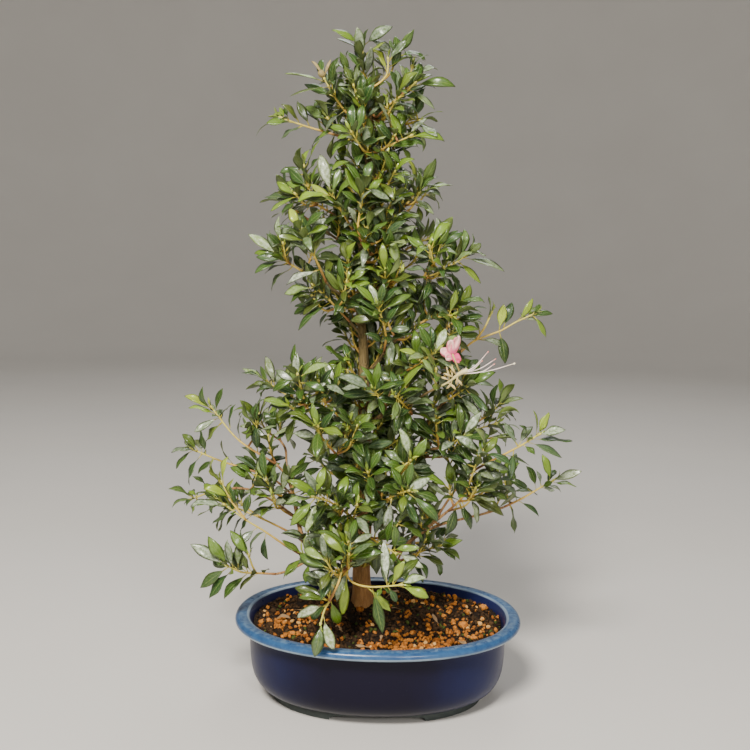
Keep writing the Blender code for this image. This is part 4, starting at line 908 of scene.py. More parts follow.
class Twig:
    """A young stem whose sides open into leaves, in close pairs of rings with four seats each."""

    SIDES = 4

    def __init__(self, line):
        total = sum((b - a).length for a, b in zip(line, line[1:]))
        marks = []
        away = FIRST_SEAT
        while away < total * SEATED_SHARE:
            marks.append(total - away)
            away += SEAT_STEP
        stops = [(bend, None) for bend in lengths_along(line)
                 if all(abs(bend - mark) > 2 * SEAT_HALF for mark in marks)]
        for whorl, mark in enumerate(marks):
            stops += [(mark - SEAT_HALF, whorl), (mark + SEAT_HALF, whorl)]
        if stops[-1][0] < total and all(distance != total for distance, _ in stops):
            stops.append((total, None))
        stops.sort(key=lambda stop: stop[0])
        self.line = line
        self.whorls = [whorl for _, whorl in stops]
        self.radii = [STEM_RADIUS * (1 - STEM_TAPER * distance / total) for distance, _ in stops]
        self.frames = ring_frames([point_back(line, total - distance) for distance, _ in stops])

    def corner(self, ring, k):
        """One corner of a ring's square section."""
        point, side, second = self.frames[ring]
        return point + turned(side, second, 2 * math.pi * k / self.SIDES) * self.radii[ring]

    def seats(self):
        """Each place where a leaf can grow."""
        found = []
        for ring in range(len(self.whorls) - 1):
            if self.whorls[ring] is not None and self.whorls[ring] == self.whorls[ring + 1]:
                for k in range(self.SIDES):
                    corners = [self.corner(ring + i, k + j) for i in (0, 1) for j in (0, 1)]
                    middle = sum(corners, Vector()) / 4
                    axis = (self.frames[ring][0] + self.frames[ring + 1][0]) / 2
                    found.append(Seat(self, middle, (middle - axis).normalized()))
        return found


class Room:
    """Everything placed so far, in cells, so that a new shape is tested against what is near it."""

    CELL = 0.03

    def __init__(self):
        self.cells = {}

    def near(self, vertices):
        """The cells that a shape's box reaches into."""
        spans = []
        for i in range(3):
            low = math.floor(min(v[i] for v in vertices) / self.CELL)
            high = math.floor(max(v[i] for v in vertices) / self.CELL)
            spans.append(range(low, high + 1))
        return [(x, y, z) for x in spans[0] for y in spans[1] for z in spans[2]]

    def add(self, owner, shape):
        """Places one shape, which is vertices and faces, for its owner."""
        tree = BVHTree.FromPolygons(*shape)
        for cell in self.near(shape[0]):
            self.cells.setdefault(cell, []).append((owner, tree))

    def touched(self, owner, shape):
        """How many shapes of other owners this one would meet."""
        tree = BVHTree.FromPolygons(*shape)
        near = {id(placed): placed for cell in self.near(shape[0])
                for other, placed in self.cells.get(cell, ()) if other != owner}
        return sum(bool(tree.overlap(placed)) for placed in near.values())


def oval_point(inset, height, angle):
    """A point of the pot's oval at this inset from its outer edge, in metres."""
    half_width = POT_WIDTH / 2 - inset
    half_depth = POT_DEPTH / 2 - inset
    across = math.copysign(abs(math.cos(angle)) ** (2 / OVAL_POWER), math.cos(angle))
    along = math.copysign(abs(math.sin(angle)) ** (2 / OVAL_POWER), math.sin(angle))
    return Vector((POT_ASIDE + half_width * across, half_depth * along, height))


def oval_rings(section, sides):
    """The vertices of a section, given in mm, carried round the pot's oval."""
    return [oval_point(inset * MM, height * MM, angle)
            for inset, height in section for angle in turns(sides)]


def pot_skin(sides):
    """Vertices and faces of the whole pot, closed: its section round the oval, then the two floors."""
    section = [FOOT_INSIDE, (FOOT_INSIDE[0], 0), *POT_SECTION]
    vertices = oval_rings(section, sides)
    faces = halves(ring_quads(len(section), sides))
    under = len(vertices)
    vertices.append(Vector((POT_ASIDE, 0, section[0][1] * MM)))
    inside = len(vertices)
    vertices.append(Vector((POT_ASIDE, 0, section[-1][1] * MM)))
    last = (len(section) - 1) * sides
    for k in range(sides):
        follow = (k + 1) % sides
        faces += [(under, follow, k), (inside, last + k, last + follow)]
    return vertices, faces


def soil_height(x, y):
    """The soil's own surface: a low mound at the trunk with bumps of a grain's height."""
    away = math.hypot((x - TRUNK_FOOT.x) / POT_WIDTH, (y - TRUNK_FOOT.y) / POT_DEPTH) * 2
    mound = SOIL_MOUND * max(0.0, 1 - away) ** MOUND_POWER
    (sway_x, wave_y), (sway_y, wave_x) = BUMP_SWAYS
    bumps = math.sin(x * BUMP_WAVES[0] + sway_x * math.sin(y * wave_y))
    bumps *= math.sin(y * BUMP_WAVES[1] + sway_y * math.sin(x * wave_x))
    return SOIL_EDGE_HEIGHT + mound + SOIL_RELIEF * bumps


def soil_skin(draw):
    """Vertices and faces of the soil, closed, with a plain hole for the trunk."""
    hole = trunk_radius(0) + HOLE_GAP
    floor = POT_SECTION[-1][1] * MM + 2 * GAP
    hole_floor = SOIL_EDGE_HEIGHT - TRUNK_SUNK
    angles = turns(SOIL_SIDES)
    around = [Vector((TRUNK_FOOT.x + hole * math.cos(a), TRUNK_FOOT.y + hole * math.sin(a), 0))
              for a in angles]
    rings = [[Vector((spot.x, spot.y, hole_floor)) for spot in around]]
    for step in range(SOIL_RINGS + 1):
        ring = []
        for inner, angle in zip(around, angles):
            spot = inner.lerp(oval_point(SOIL_WALL_INSET * MM + 2 * GAP, 0, angle), step / SOIL_RINGS)
            jitter = draw.uniform(-1, 1) * SOIL_RELIEF * SOIL_JITTER if 0 < step < SOIL_RINGS else 0
            ring.append(Vector((spot.x, spot.y, soil_height(spot.x, spot.y) + jitter)))
        rings.append(ring)
    for inset, height in POT_SECTION[-3:]:
        rings.append([oval_point(inset * MM + 2 * GAP, max(height * MM, floor), a) for a in angles])
    return soil_faces(rings, hole_floor, floor)


def soil_faces(rings, hole_floor, floor):
    """The soil's vertices and faces: quads split one way and the other in turn, and both floors."""
    vertices = [v for ring in rings for v in ring]
    faces = []
    for i, (a, c, d, b) in enumerate(ring_quads(len(rings), SOIL_SIDES, inward=True)):
        odd = (i // SOIL_SIDES + i % SOIL_SIDES) % 2
        faces += [(a, c, b), (b, c, d)] if odd else [(a, c, d), (a, d, b)]
    hole_middle = len(vertices)
    vertices.append(Vector((TRUNK_FOOT.x, TRUNK_FOOT.y, hole_floor)))
    under = len(vertices)
    vertices.append(Vector((POT_ASIDE, 0, floor)))
    last = (len(rings) - 1) * SOIL_SIDES
    for k in range(SOIL_SIDES):
        follow = (k + 1) % SOIL_SIDES
        faces += [(hole_middle, k, follow), (under, last + follow, last + k)]
    return vertices, faces


def stem_lines(spray, nudge):
    """The spray's stems as smooth lines, from near the trunk's plane to the spray's own depth."""
    depth_at = {}
    lines = []
    for stem in spray.stems:
        start = depth_at.get(stem[0], spray.depth * STEM_START)
        points = []
        for i, pixel in enumerate(stem):
            depth_at[pixel] = start + (spray.depth - start) * i / (len(stem) - 1)
            points.append(sight(pixel, depth_at[pixel] * MM + nudge))
        lines.append(smooth_line(points, COARSE_STEPS))
    return lines


def crown_reach(height):
    """How far the crown reaches from its axis at this height, between the heights given."""
    for (low, near), (high, far) in zip(CROWN_OUTLINE, CROWN_OUTLINE[1:]):
        if height <= high * MM:
            share = (height / MM - low) / (high - low)
            return (near + (far - near) * max(share, 0)) * MM
    return CROWN_OUTLINE[-1][1] * MM


def rule_lines(index, nudge):
    """A spray at the back or side: one arching stem with a fork on it."""
    share = index / (RULE_SPRAYS - 1)
    height = RULE_LOWEST + (RULE_HIGHEST - RULE_LOWEST) * share + nudge
    turn = math.pi / 2 + RULE_FAN * ((index * GOLDEN_SHARE + RULE_FIRST_TURN) % 1 - 0.5)
    heading = Vector((math.cos(turn), math.sin(turn) * RULE_FLATTENING, 0))
    across = Vector((-heading.y, heading.x, 0))
    reach = crown_reach(height)
    axis = sight(AXIS_PIXEL, 0)
    axis.z = height

    def from_point(base, shares):
        """The point at these shares of the reach from a base."""
        return base + heading * reach * shares[0] + across * reach * shares[1] + UP * reach * shares[2]

    bend = from_point(axis, RULE_BEND)
    end = axis + heading * (reach - LEAF_LENGTH * RULE_END_BACK) + UP * reach * RULE_END_RISE
    main = smooth_line([from_point(axis, RULE_START), bend, end], COARSE_STEPS)
    return [main, smooth_line([bend, from_point(bend, RULE_FORK_END)], COARSE_STEPS)]


def stem_shapes(lines, swell=0.0):
    """A tapering tube for each stem of a spray."""
    shapes = []
    for line in lines:
        radii = [STEM_RADIUS * (1 - STEM_TAPER * i / (len(line) - 1)) + swell for i in range(len(line))]
        shapes.append(tube(line, radii, Twig.SIDES))
    return shapes


def place_stems(room):
    """Every spray's stem lines by name, each moved a little until its stems are clear of the others."""
    placed = {}
    plans = [(spray.name, lambda nudge, spray=spray: stem_lines(spray, nudge)) for spray in SPRAYS]
    plans += [(f"{BACK}{i + 1}", lambda nudge, i=i: rule_lines(i, nudge)) for i in range(RULE_SPRAYS)]
    for name, lines_at in plans:
        for nudge in NUDGES:
            lines = lines_at(nudge * MM)
            if not any(room.touched(name, shape) for shape in stem_shapes(lines, 2 * GAP)):
                break
        placed[name] = lines
        for shape in stem_shapes(lines):
            room.add(name, shape)
    return placed


def trunk_radius(height):
    """The trunk's own taper, from the soil up to the apex."""
    above = max(height - SOIL_EDGE_HEIGHT, 0)
    left = 1 - min(above / TAPER_HEIGHT, 1)
    flare = FLARE_SHARE * math.exp(-above / FLARE_HEIGHT)
    return TRUNK_FOOT_RADIUS * (left ** TAPER_POWER * TAPER_SHARE + APEX_SHARE) * (1 + flare)


class Wood:
    """Trunk and branches as one growing set of points, each with its parent, like a pipe model."""

    def __init__(self):
        line = [sight(pixel, 0) for pixel in TRUNK_LINE]
        foot = line[0].copy()
        foot.z = SOIL_EDGE_HEIGHT - TRUNK_SUNK + GAP
        self.trunk = [foot, *smooth_line(line, COARSE_STEPS)]
        self.points = list(self.trunk)
        self.parents = [None, *range(len(self.trunk) - 1)]
        self.reach = lengths_along(self.trunk)
        self.open = [point.z > SOIL_EDGE_HEIGHT + BARE_FOOT for point in self.trunk]
        self.branches = []

    def route(self, parent, end, direction):
        """A curve that leaves the wood outward and meets the stem straight on."""
        start = self.points[parent]
        span = (end - start).length
        leave = ((end - start).normalized() + UP * BRANCH_RISE).normalized() * span
        arrive = direction * span * BRANCH_ARRIVAL
        count = 2 + sum(span >= length for length in LONGER_BRANCHES)
        points = []
        for i in range(1, count + 1):
            t = i / count
            points.append(start * (2 * t ** 3 - 3 * t ** 2 + 1) + leave * (t ** 3 - 2 * t ** 2 + t)
                          + end * (3 * t ** 2 - 2 * t ** 3) + arrive * (t ** 3 - t ** 2))
        return points

    def cost(self, i, end, direction):
        """How dear a branch from this point would be: long, turned, crowded, or from above its end."""
        point = self.points[i]
        above = max(0.0, point.z - end.z + LEAST_RISE) * ABOVE_COST
        turn = (1 - (end - point).normalized().dot(direction)) * TURN_COST
        crowd = CROWD_COST * self.parents.count(i)
        return (end - point).length * (1 + turn) + REACH_COST * self.reach[i] + above + crowd

    def join(self, name, line, room):
        """Grows a branch from the best point of the wood to the start of this stem."""
        direction = (line[1] - line[0]).normalized()
        end = line[0] - direction * GAP
        costs = sorted((self.cost(i, end, direction), i) for i, point in enumerate(self.points)
                       if self.open[i] and (end - point).length > SHORTEST_BRANCH)
        for _, parent in costs[:BRANCH_TRIES]:
            points = self.route(parent, end, direction)
            radii = [STEM_RADIUS + 2 * GAP] * (len(points) + 1)
            shape = tube([self.points[parent], *points], radii, CLEARING_SIDES, direction)
            clear = tube([self.points[parent], *points[:-1]], radii[:-1], CLEARING_SIDES)
            if not room.touched(name, shape) and not room.touched("wood", clear):
                break
        else:
            print("no clear way to", name)
            parent = costs[0][1]
            points = self.route(parent, end, direction)
        self.branches.append((self.grow(parent, points), direction))

    def grow(self, parent, points):
        """Adds a branch's points from its parent on, and gives the numbers of them all."""
        chain = [parent]
        for i, point in enumerate(points):
            self.reach.append(self.reach[chain[-1]] + (point - self.points[chain[-1]]).length)
            self.points.append(point)
            self.parents.append(chain[-1])
            self.open.append(i < len(points) - 1)
            chain.append(len(self.points) - 1)
        return chain

    def radii(self):
        """Each point's radius: twigs carry their stem, and what joins adds up toward the root."""
        load = [0.0] * len(self.points)
        for chain, _ in self.branches:
            i = chain[-1]
            while i is not None:
                load[i] += STEM_RADIUS ** PIPE_POWER
                i = self.parents[i]
        radii = [max(amount, STEM_RADIUS ** PIPE_POWER) ** (1 / PIPE_POWER) for amount in load]
        for i in range(len(self.trunk)):
            radii[i] = trunk_radius(self.points[i].z)
        return radii

    def shapes(self):
        """The trunk's tube, then one tube for each branch, rooted on its parent's middle line."""
        radii = self.radii()
        shapes = [tube(self.trunk, radii[:len(self.trunk)], TRUNK_SIDES)]
        for chain, direction in self.branches:
            own = [radii[chain[1]], *(radii[i] for i in chain[1:])]
            shapes.append(tube([self.points[i] for i in chain], own, BRANCH_SIDES, direction))
        return shapes


def leaf_normal(place, facing, draw):
    """Which way a leaf's upper face looks: up, away from the trunk, toward the light, and astray."""
    axis = sight(AXIS_PIXEL, 0)
    outward = Vector((place.x - axis.x, place.y - axis.y, 0)).normalized()
    look = UP * LOOK_UP + outward * LOOK_OUT + facing * LOOK_FRONT + stray(draw) * LOOK_ASTRAY
    return look.normalized()


def drawn_leaf(place, tip, length, facing, draw):
    """A leaf from its place to its tip, with a width, a normal and a bow by chance."""
    width = LEAF_WIDTH * draw.uniform(*WIDTH_SPREAD) * (length / LEAF_LENGTH) ** WIDTH_GROWTH
    normal = leaf_normal(tip, Vector((0, facing, 0)), draw)
    return Leaf(place, tip, normal, width, draw.uniform(*BOW_SPREAD) * length)


def point_back(line, away):
    """The point this far back from the line's end."""
    for after, before in zip(reversed(line), reversed(line[:-1])):
        span = (before - after).length
        if away <= span:
            return after.lerp(before, away / span)
        away -= span
    return line[0]


def seen_leaf(free, pixel, attempt, draw):
    """A free seat and, grown from it, a leaf whose tip the photograph shows."""
    target = sight(pixel, free[0].place.y - TREE_PLANE)

    def cost(seat):
        """How far this seat's leaf would be from the usual length, and how much turned."""
        course = Vector((target.x - seat.place.x, 0, target.z - seat.place.z))
        turn = 1 - course.normalized().dot(seat.normal)
        return abs(course.length - TIP_REACH) + turn * TURNED_COST

    seat = sorted(free, key=cost)[min(attempt // TRIES_PER_SEAT, len(free) - 1)]
    flat = Vector((seat.place.x - target.x, 0, seat.place.z - target.z)).length
    lean = draw.uniform(*LEAN_SPREAD) * (1 + TRY_LEAN * attempt) * min(flat, MOST_LEAN)
    tip = sight(pixel, seat.place.y - TREE_PLANE + lean)
    return seat, drawn_leaf(seat.place, tip, (tip - seat.place).length, -1, draw)


def rule_leaf(free, backward, draw):
    """A seat near its stem's end and a leaf by rule. On a shown spray it is one of those at the back."""
    nearest = free[:RULE_WHORL]
    if backward:
        nearest = sorted(free[:BACK_WHORLS], key=lambda seat: -seat.normal.y)[:BACK_CHOICES]
    seat = nearest[int(draw.random() * len(nearest))]
    ahead = (seat.twig.line[-1] - seat.twig.line[-2]).normalized()
    opening = math.radians(draw.uniform(*OPENING_SPREAD))
    astray = stray(draw) * RULE_ASTRAY
    course = (turned(ahead, seat.normal, opening) + UP * RISE_SHARE + astray).normalized()
    length = LEAF_LENGTH * draw.uniform(*LENGTH_SPREAD)
    return seat, drawn_leaf(seat.place, seat.place + course * length, length, 0, draw)


def best_leaf(name, make, room):
    """The seat and leaf, clear of every other node, that cross their own spray least."""
    best = None
    for attempt in range(LEAF_TRIES):
        seat, leaf = make(attempt)
        run = leaf.tip - leaf.root
        if run.normalized().dot(seat.normal) < SEAT_TURN or not SHORTEST < run.length < LONGEST:
            continue
        if room.touched(name, blade(leaf, CLEARANCE * GAP, FOOT_START)):
            continue
        crossings = room.touched(None, blade(leaf, GAP / 2, CLEAR_START))
        if best is None or crossings < best[0]:
            best = (crossings, seat, leaf)
        if crossings == 0:
            break
    return best and best[1:]


def calyx_line(stalk):
    """The flower's stalk, on to the end of its calyx."""
    toward = sight(FLOWER_THREADS[0][0], FLOWER_DEPTH) - stalk[-1]
    return [*stalk, stalk[-1] + toward.normalized() * CALYX_LENGTH]


def petal_tips():
    """Each petal's tip and the way it looks."""
    for i, pixel in enumerate(PETAL_TIPS):
        yield sight(pixel, FLOWER_DEPTH + (i % 3 - 1) * PETAL_LEAN), PETAL_LOOKS[i % 2]


def flower_shapes():
    """The spent flower's stalk line, then its green and its pink shapes."""
    stalk = [sight(pixel, FLOWER_DEPTH) for pixel in FLOWER_STALK]
    green = [tube(calyx_line(stalk), STALK_RADII, STALK_SIDES)]
    for i in range(len(FLOWER_THREADS)):
        line = thread_line(stalk[-1], i, COARSE_STEPS)
        line.append(line[-1] + (line[-1] - line[-2]).normalized() * THREAD_KNOB)
        radii = [THREAD_RADII[0]] * (len(line) - 2) + list(THREAD_RADII[1:])
        green.append(tube(line, radii, THREAD_SIDES))
    foot, crown = petal_stalk_line(stalk[-1])
    pink = [tube([foot, crown], PETAL_STALK, PETAL_SIDES)]
    for i, (tip, look) in enumerate(petal_tips()):
        bow = PETAL_BOW * (1 - i % 2 * 2)
        pink.append(blade(Leaf(foot.lerp(crown, PETAL_ROOT), tip, look, PETAL_WIDTH, bow)))
    return stalk, green, pink


def thread_line(calyx, index, steps):
    """A thread's curve from the calyx, with this many steps for each span."""
    lean = (index % 3 - 1) * THREAD_LEAN
    points = [sight(pixel, FLOWER_DEPTH + lean * (k + 1) / 2)
              for k, pixel in enumerate(FLOWER_THREADS[index])]
    return smooth_line([calyx, *points], steps)


def petal_stalk_line(calyx):
    """From just above the calyx to where the withered petals meet."""
    return [calyx + UP * (CALYX_RADII[0] + 3 * GAP), sight(PETAL_CROWN, FLOWER_DEPTH)]


def capsule_line(stem):
    """The points of the seed capsule's axis, on a short stalk past a stem's end."""
    ahead = (stem[-1] - stem[-2]).normalized()
    return [stem[-1] + ahead * (GAP + step * MM) for step in CAPSULE_STEPS]


def bracts(stem):
    """The two bracts of the seed capsule."""
    root = capsule_line(stem)[1]
    for pixel in CAPSULE_BRACTS:
        yield Leaf(root, sight(pixel, stem[-1].y - TREE_PLANE), BRACT_LOOK, BRACT_WIDTH, BRACT_BOW)


def capsule_shapes(stem):
    """The seed capsule with its two bracts."""
    capsule = tube(capsule_line(stem), CAPSULE_RADII, CAPSULE_RIBS)
    return [capsule, *(blade(bract) for bract in bracts(stem))]


class Skin:
    """Vertices and faces of one piece, with the two vectors at each vertex that its materials read."""

    def __init__(self):
        self.vertices = []
        self.faces = []
        self.slots = []
        self.places = []
        self.tones = []

    def add(self, vertices, faces, places=ZEROS, tones=ZEROS, slot=0):
        """Adds a closed shape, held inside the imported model's box. One place or tone can serve it all."""
        first = len(self.vertices)
        low, high = CAD_BOX
        for vertex in vertices:
            moved = vertex + MODEL_SHIFT
            self.vertices.append(Vector(min(max(moved[i], low[i]), high[i]) for i in range(3)))
        self.faces += [tuple(first + i for i in face) for face in faces]
        self.slots += [slot] * len(faces)
        self.places += places if isinstance(places, list) else [places] * len(vertices)
        self.tones += tones if isinstance(tones, list) else [tones] * len(vertices)

    def piece(self, name, looks, nodes=()):
        """The finished piece, riding on the frame in place of these nodes."""
        mesh = bpy.data.meshes.new(name)
        mesh.from_pydata(self.vertices, [], self.faces)
        for key, values in (("place", self.places), ("tone", self.tones)):
            attribute = mesh.attributes.new(key, "FLOAT_VECTOR", "POINT")
            attribute.data.foreach_set("vector", [number for value in values for number in value])
        mesh.polygons.foreach_set("material_index", self.slots)
        mesh.shade_smooth()
        for look in looks:
            mesh.materials.append(look)
        obj = bpy.data.objects.new(name, mesh)
        bpy.context.scene.collection.objects.link(obj)
        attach(obj, "root")
        if nodes:
            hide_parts(*nodes)
        return obj


def leaf_spread(share):
    """The blade's half width at this share of its length, as a share of its widest, past its stalk."""
    blade_share = max(share - STALK_SHARE, 0) / (1 - STALK_SHARE)
    return math.sin(math.pi * blade_share ** WIDEST_POWER) ** POINT_POWER


def fine_leaf(skin, leaf, tone, draw, keep_off=None):
    """Adds one leaf. If it would go through what it keeps off, its tip is moved away from that."""
    vertices, places = leaf_shape(leaf, draw)
    bend_inside(vertices, places)
    for attempt in range(1, FIT_TRIES):
        if keep_off is None or not BVHTree.FromPolygons(vertices, LEAF_FACES).overlap(keep_off):
            break
        away = keep_off.find_nearest(leaf.tip)[1]
        vertices, places = leaf_shape(leaf._replace(tip=leaf.tip + away * TIP_STEP * attempt), draw)
        bend_inside(vertices, places)
    skin.add(vertices, LEAF_FACES, places, tone, LEAF_SLOT)


def bend_inside(vertices, places):
    """Bends a leaf, most at its tip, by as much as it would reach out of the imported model's box."""
    for i in range(3):
        low, high = (corner[i] - MODEL_SHIFT[i] for corner in CAD_BOX)
        out = [max(vertex[i] - high, 0) - max(low - vertex[i], 0) for vertex in vertices]
        worst = max(range(len(out)), key=lambda k: abs(out[k]))
        if out[worst]:
            per_share = out[worst] / max(places[worst][1], LEAF_ROWS[1])
            for vertex, place in zip(vertices, places):
                vertex[i] -= per_share * place[1]


def leaf_shape(leaf, draw):
    """Vertices and places of a closed leaf: a stalk, a folded and rippled blade and a pointed tip."""
    run, ahead, normal = leaf_axes(leaf)
    side = normal.cross(ahead)
    twist = draw.uniform(-LEAF_TWIST, LEAF_TWIST)
    ripple = draw.uniform(0, LEAF_RIPPLE) * leaf.width
    phase = draw.uniform(0, 2 * math.pi)
    fold = FOLD * draw.uniform(*FOLD_SPREAD)
    curl = draw.uniform(*CURL_SPREAD)
    droop = draw.uniform(*DROOP_SPREAD) * LEAF_DROOP * run.length
    top, under, top_places, under_places = [], [], [], []
    for share in LEAF_ROWS:
        angle = twist * (share - TWIST_CENTRE)
        across = turned(side, normal, angle)
        up = turned(normal, -side, angle)
        middle = leaf.root + run * share + normal * (leaf.bow * 4 * share * (1 - share))
        middle += normal * droop * (1 - share) * share ** 2 * 4
        half = max(leaf.width * LEAF_NARROWING * leaf_spread(share), STALK_WIDTH) / 2
        for column in LEAF_COLUMNS:
            out = abs(column)
            lift = half * (fold * out - curl * fold * out ** 3)
            lift += ripple * out * math.sin(phase + share * RIPPLE_WAVES[0] + column * RIPPLE_WAVES[1])
            point = middle + across * half * column + up * lift
            thick = LEAF_THICKNESS / 2 * (1 - out / 2)
            top.append(point + up * thick)
            top_places.append((column, share, 0.5 if out == 1 else 0.0))
            if out < 1:
                under.append(point - up * thick)
                under_places.append((column, share, 1.0))
    return top + under + [leaf.tip.copy()], top_places + under_places + [(0.0, 1.0, 0.5)]


def leaf_faces():
    """The faces of every fine leaf, between its rows on top, those underneath and its tip."""
    wide = len(LEAF_COLUMNS)
    rows = len(LEAF_ROWS)
    tip = rows * (wide + wide - 2)

    def below(row, column):
        """The vertex under this one. Along the edges it is the same."""
        if column in (0, wide - 1):
            return row * wide + column
        return rows * wide + row * (wide - 2) + column - 1

    faces = []
    for column in range(wide - 1):
        for row in range(rows - 1):
            a = row * wide + column
            faces.append((a, a + wide, a + wide + 1, a + 1))
            faces.append((below(row, column), below(row, column + 1), below(row + 1, column + 1),
                          below(row + 1, column)))
        last = (rows - 1) * wide + column
        faces.append((last, tip, last + 1))
        faces.append((below(rows - 1, column), below(rows - 1, column + 1), tip))
        faces.append(tuple(dict.fromkeys((column, column + 1, below(0, column + 1), below(0, column)))))
    return faces


LEAF_FACES = leaf_faces()


def fine_tube(skin, line, radii, sides, tones, slot=0):
    """Adds one closed tube. Its places hold the turn round it and the metres along it."""
    vertices, faces = tube(line, radii, sides)
    places = [(k / sides, along, 0.0) for along in lengths_along(line) for k in range(sides)]
    skin.add(vertices, faces, places, [tone for tone in tones for _ in range(sides)], slot)


def fine_stem(skin, line, root_youth, draw):
    """Adds a young stem that swells a little at its whorls and ends in a bud."""
    line = smooth_line(line, STEM_STEPS)
    count = len(line) - 1
    radii = []
    tones = []
    for i in range(count + 1):
        share = i / count
        swell = 1 + STEM_SWELL * math.sin(share * STEM_WAVES)
        radii.append(STEM_RADIUS * (1 - STEM_TAPER * share) * swell)
        tones.append((root_youth + (1 - root_youth) * share, 0.0, draw.random()))
    ahead = (line[-1] - line[-2]).normalized()
    for reach, spread in BUD_SECTION:
        line.append(line[count] + ahead * reach)
        radii.append(spread)
        tones.append((1.0, 0.0, 0.0))
    fine_tube(skin, line, radii, STEM_SIDES, tones, STEM_SLOT)


def bud_leaves(skin, line, draw):
    """Adds the small new leaves that stand round a stem's end."""
    ahead = (line[-1] - line[-2]).normalized()
    side = ahead.orthogonal().normalized()
    turn = draw.uniform(0, 2 * math.pi)
    for k in range(draw.choice(BUD_LEAF_COUNTS)):
        out = turned(side, ahead.cross(side), turn + 2 * math.pi * k / 3)
        length = draw.uniform(*BUD_LEAF_LENGTH)
        course = (ahead + out * draw.uniform(*BUD_OPENING) + UP * BUD_RISE).normalized()
        root = line[-1] + out * STEM_RADIUS * BUD_SEAT
        leaf = Leaf(root, root + course * length, ahead - out * BUD_LEAN, length * BUD_WIDTH,
                    length * BUD_BOW)
        if inside_box(leaf):
            fine_leaf(skin, leaf, (draw.uniform(*BUD_YOUTH), 0.0, draw.random()), draw)


def inside_box(leaf):
    """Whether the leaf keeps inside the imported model's box."""
    low, high = CAD_BOX
    tip = leaf.tip + MODEL_SHIFT
    return all(low[i] + BOX_MARGIN < tip[i] < high[i] - BOX_MARGIN for i in range(3))


def leaf_tone(pixel, away, draw):
    """How young a leaf is, how much painted sheen it has, and chance. Away is its distance from its stem's
    end.
    """
    if pixel in YOUNG_TIPS:
        return draw.uniform(*YOUNG_LEAF), 0.0, draw.random()
    # How much painted sheen the leaf gets: much on the listed tips, now and then on others
    painted_sheen = draw.uniform(*(PAINTED_SHEEN_LEAF if pixel in PAINTED_SHEEN_TIPS else OTHER_PAINTED_SHEEN))
    youth = END_YOUTH - YOUTH_LOST * min(away / AGE_SPAN, 1) + draw.uniform(-YOUTH_SPREAD, YOUTH_SPREAD)
    return max(LEAST_YOUTH, youth), max(0.0, painted_sheen), draw.random()


def grow_leaves(twigs, room):
    """Every spray's leaves as the solids have them, and the seats that are left."""
    draw = random.Random(SEED)
    grown = {name: [] for name in twigs}
    free = {name: [seat for twig in pair for seat in reversed(twig.seats())]
            for name, pair in twigs.items()}
    for spray in SPRAYS:
        seats = free[spray.name]
        for pixel in spray.tips:
            keep_leaf(spray.name, lambda attempt: seen_leaf(seats, pixel, attempt, draw),
                      seats, grown, room, pixel)
    for name, pair in twigs.items():
        seen = not name.startswith(BACK)
        seats = free[name]
        for index in range(HIDDEN_LEAVES if seen else RULE_LEAVES):
            own = seats if seen else [seat for seat in seats if seat.twig is pair[index % 2]]
            keep_leaf(name, lambda attempt: rule_leaf(own, seen, draw), seats, grown, room)
    return grown, free


def take_seat(name, seat, leaf, free, grown, room, pixel=None):
    """Notes a leaf with its photo pixel and its distance from its stem's end, and places it."""
    grown[name].append((leaf, pixel, (seat.place - seat.twig.line[-1]).length))
    room.add(name, blade(leaf))
    free.remove(seat)


def keep_leaf(name, make, free, grown, room, pixel=None):
    """Keeps the best try, if any is clear, and takes its seat off the free ones."""
    best = best_leaf(name, make, room) if len(free) > SEATS_KEPT else None
    if best is not None:
        take_seat(name, *best, free, grown, room, pixel)


def fill_leaf(free, index, attempt, lengths, draw):
    """A seat, mostly near its stem's end, and a leaf of those that the solids leave out."""
    reach = FILL_WHORL if index % 3 else 3 * FILL_WHORL
    nearest = free[:reach + attempt]
    seat = nearest[int(draw.random() * len(nearest))]
    ahead = (seat.twig.line[-1] - seat.twig.line[-2]).normalized()
    opening = math.radians(draw.uniform(*FILL_OPENING))
    astray = stray(draw) * FILL_ASTRAY
    course = (turned(ahead, seat.normal, opening) + UP * FILL_RISE + astray).normalized()
    length = LEAF_LENGTH * draw.uniform(*lengths)
    return seat, drawn_leaf(seat.place, seat.place + course * length, length, FILL_FRONT, draw)


def fill_sprays(grown, free, room, most, draw):
    """Adds leaves to every spray wherever they are clear of all that has been placed."""
    for name, seats in free.items():
        bare = name in BARE_SHOOTS
        lengths = BARE_LENGTH if bare else FILL_LENGTH
        for index in range(BARE_LEAVES if bare else most):
            for attempt in range(FILL_TRIES):
                if len(seats) < FEWEST_SEATS:
                    break
                seat, leaf = fill_leaf(seats, 1 if bare else index, attempt, lengths, draw)
                outward = (leaf.tip - leaf.root).normalized().dot(seat.normal)
                if outward < SEAT_TURN or not inside_box(leaf) or hides_bare(leaf):
                    continue
                if not room.touched(None, blade(leaf, 0, CLEAR_START)):
                    take_seat(name, seat, leaf, seats, grown, room)
                    break


def photo_pixel(point):
    """Where the photograph shows a point."""
    away = point - EYE
    scale = FOCAL_PIXELS / away.dot(AHEAD)
    return FRAME_MIDDLE + away.dot(RIGHT) * scale, FRAME_MIDDLE - away.dot(TOP) * scale


def hides_bare(leaf):
    """Whether the leaf hides the flower, the capsule or the trunk where the photograph shows them."""
    for (left, upper), (right, lower), plane in BARE_SPOTS:
        for share in LEAF_CHECKS:
            x, y = photo_pixel(leaf.root.lerp(leaf.tip, share))
            if left < x < right and upper < y < lower and leaf.tip.y < plane:
                return True
    return False


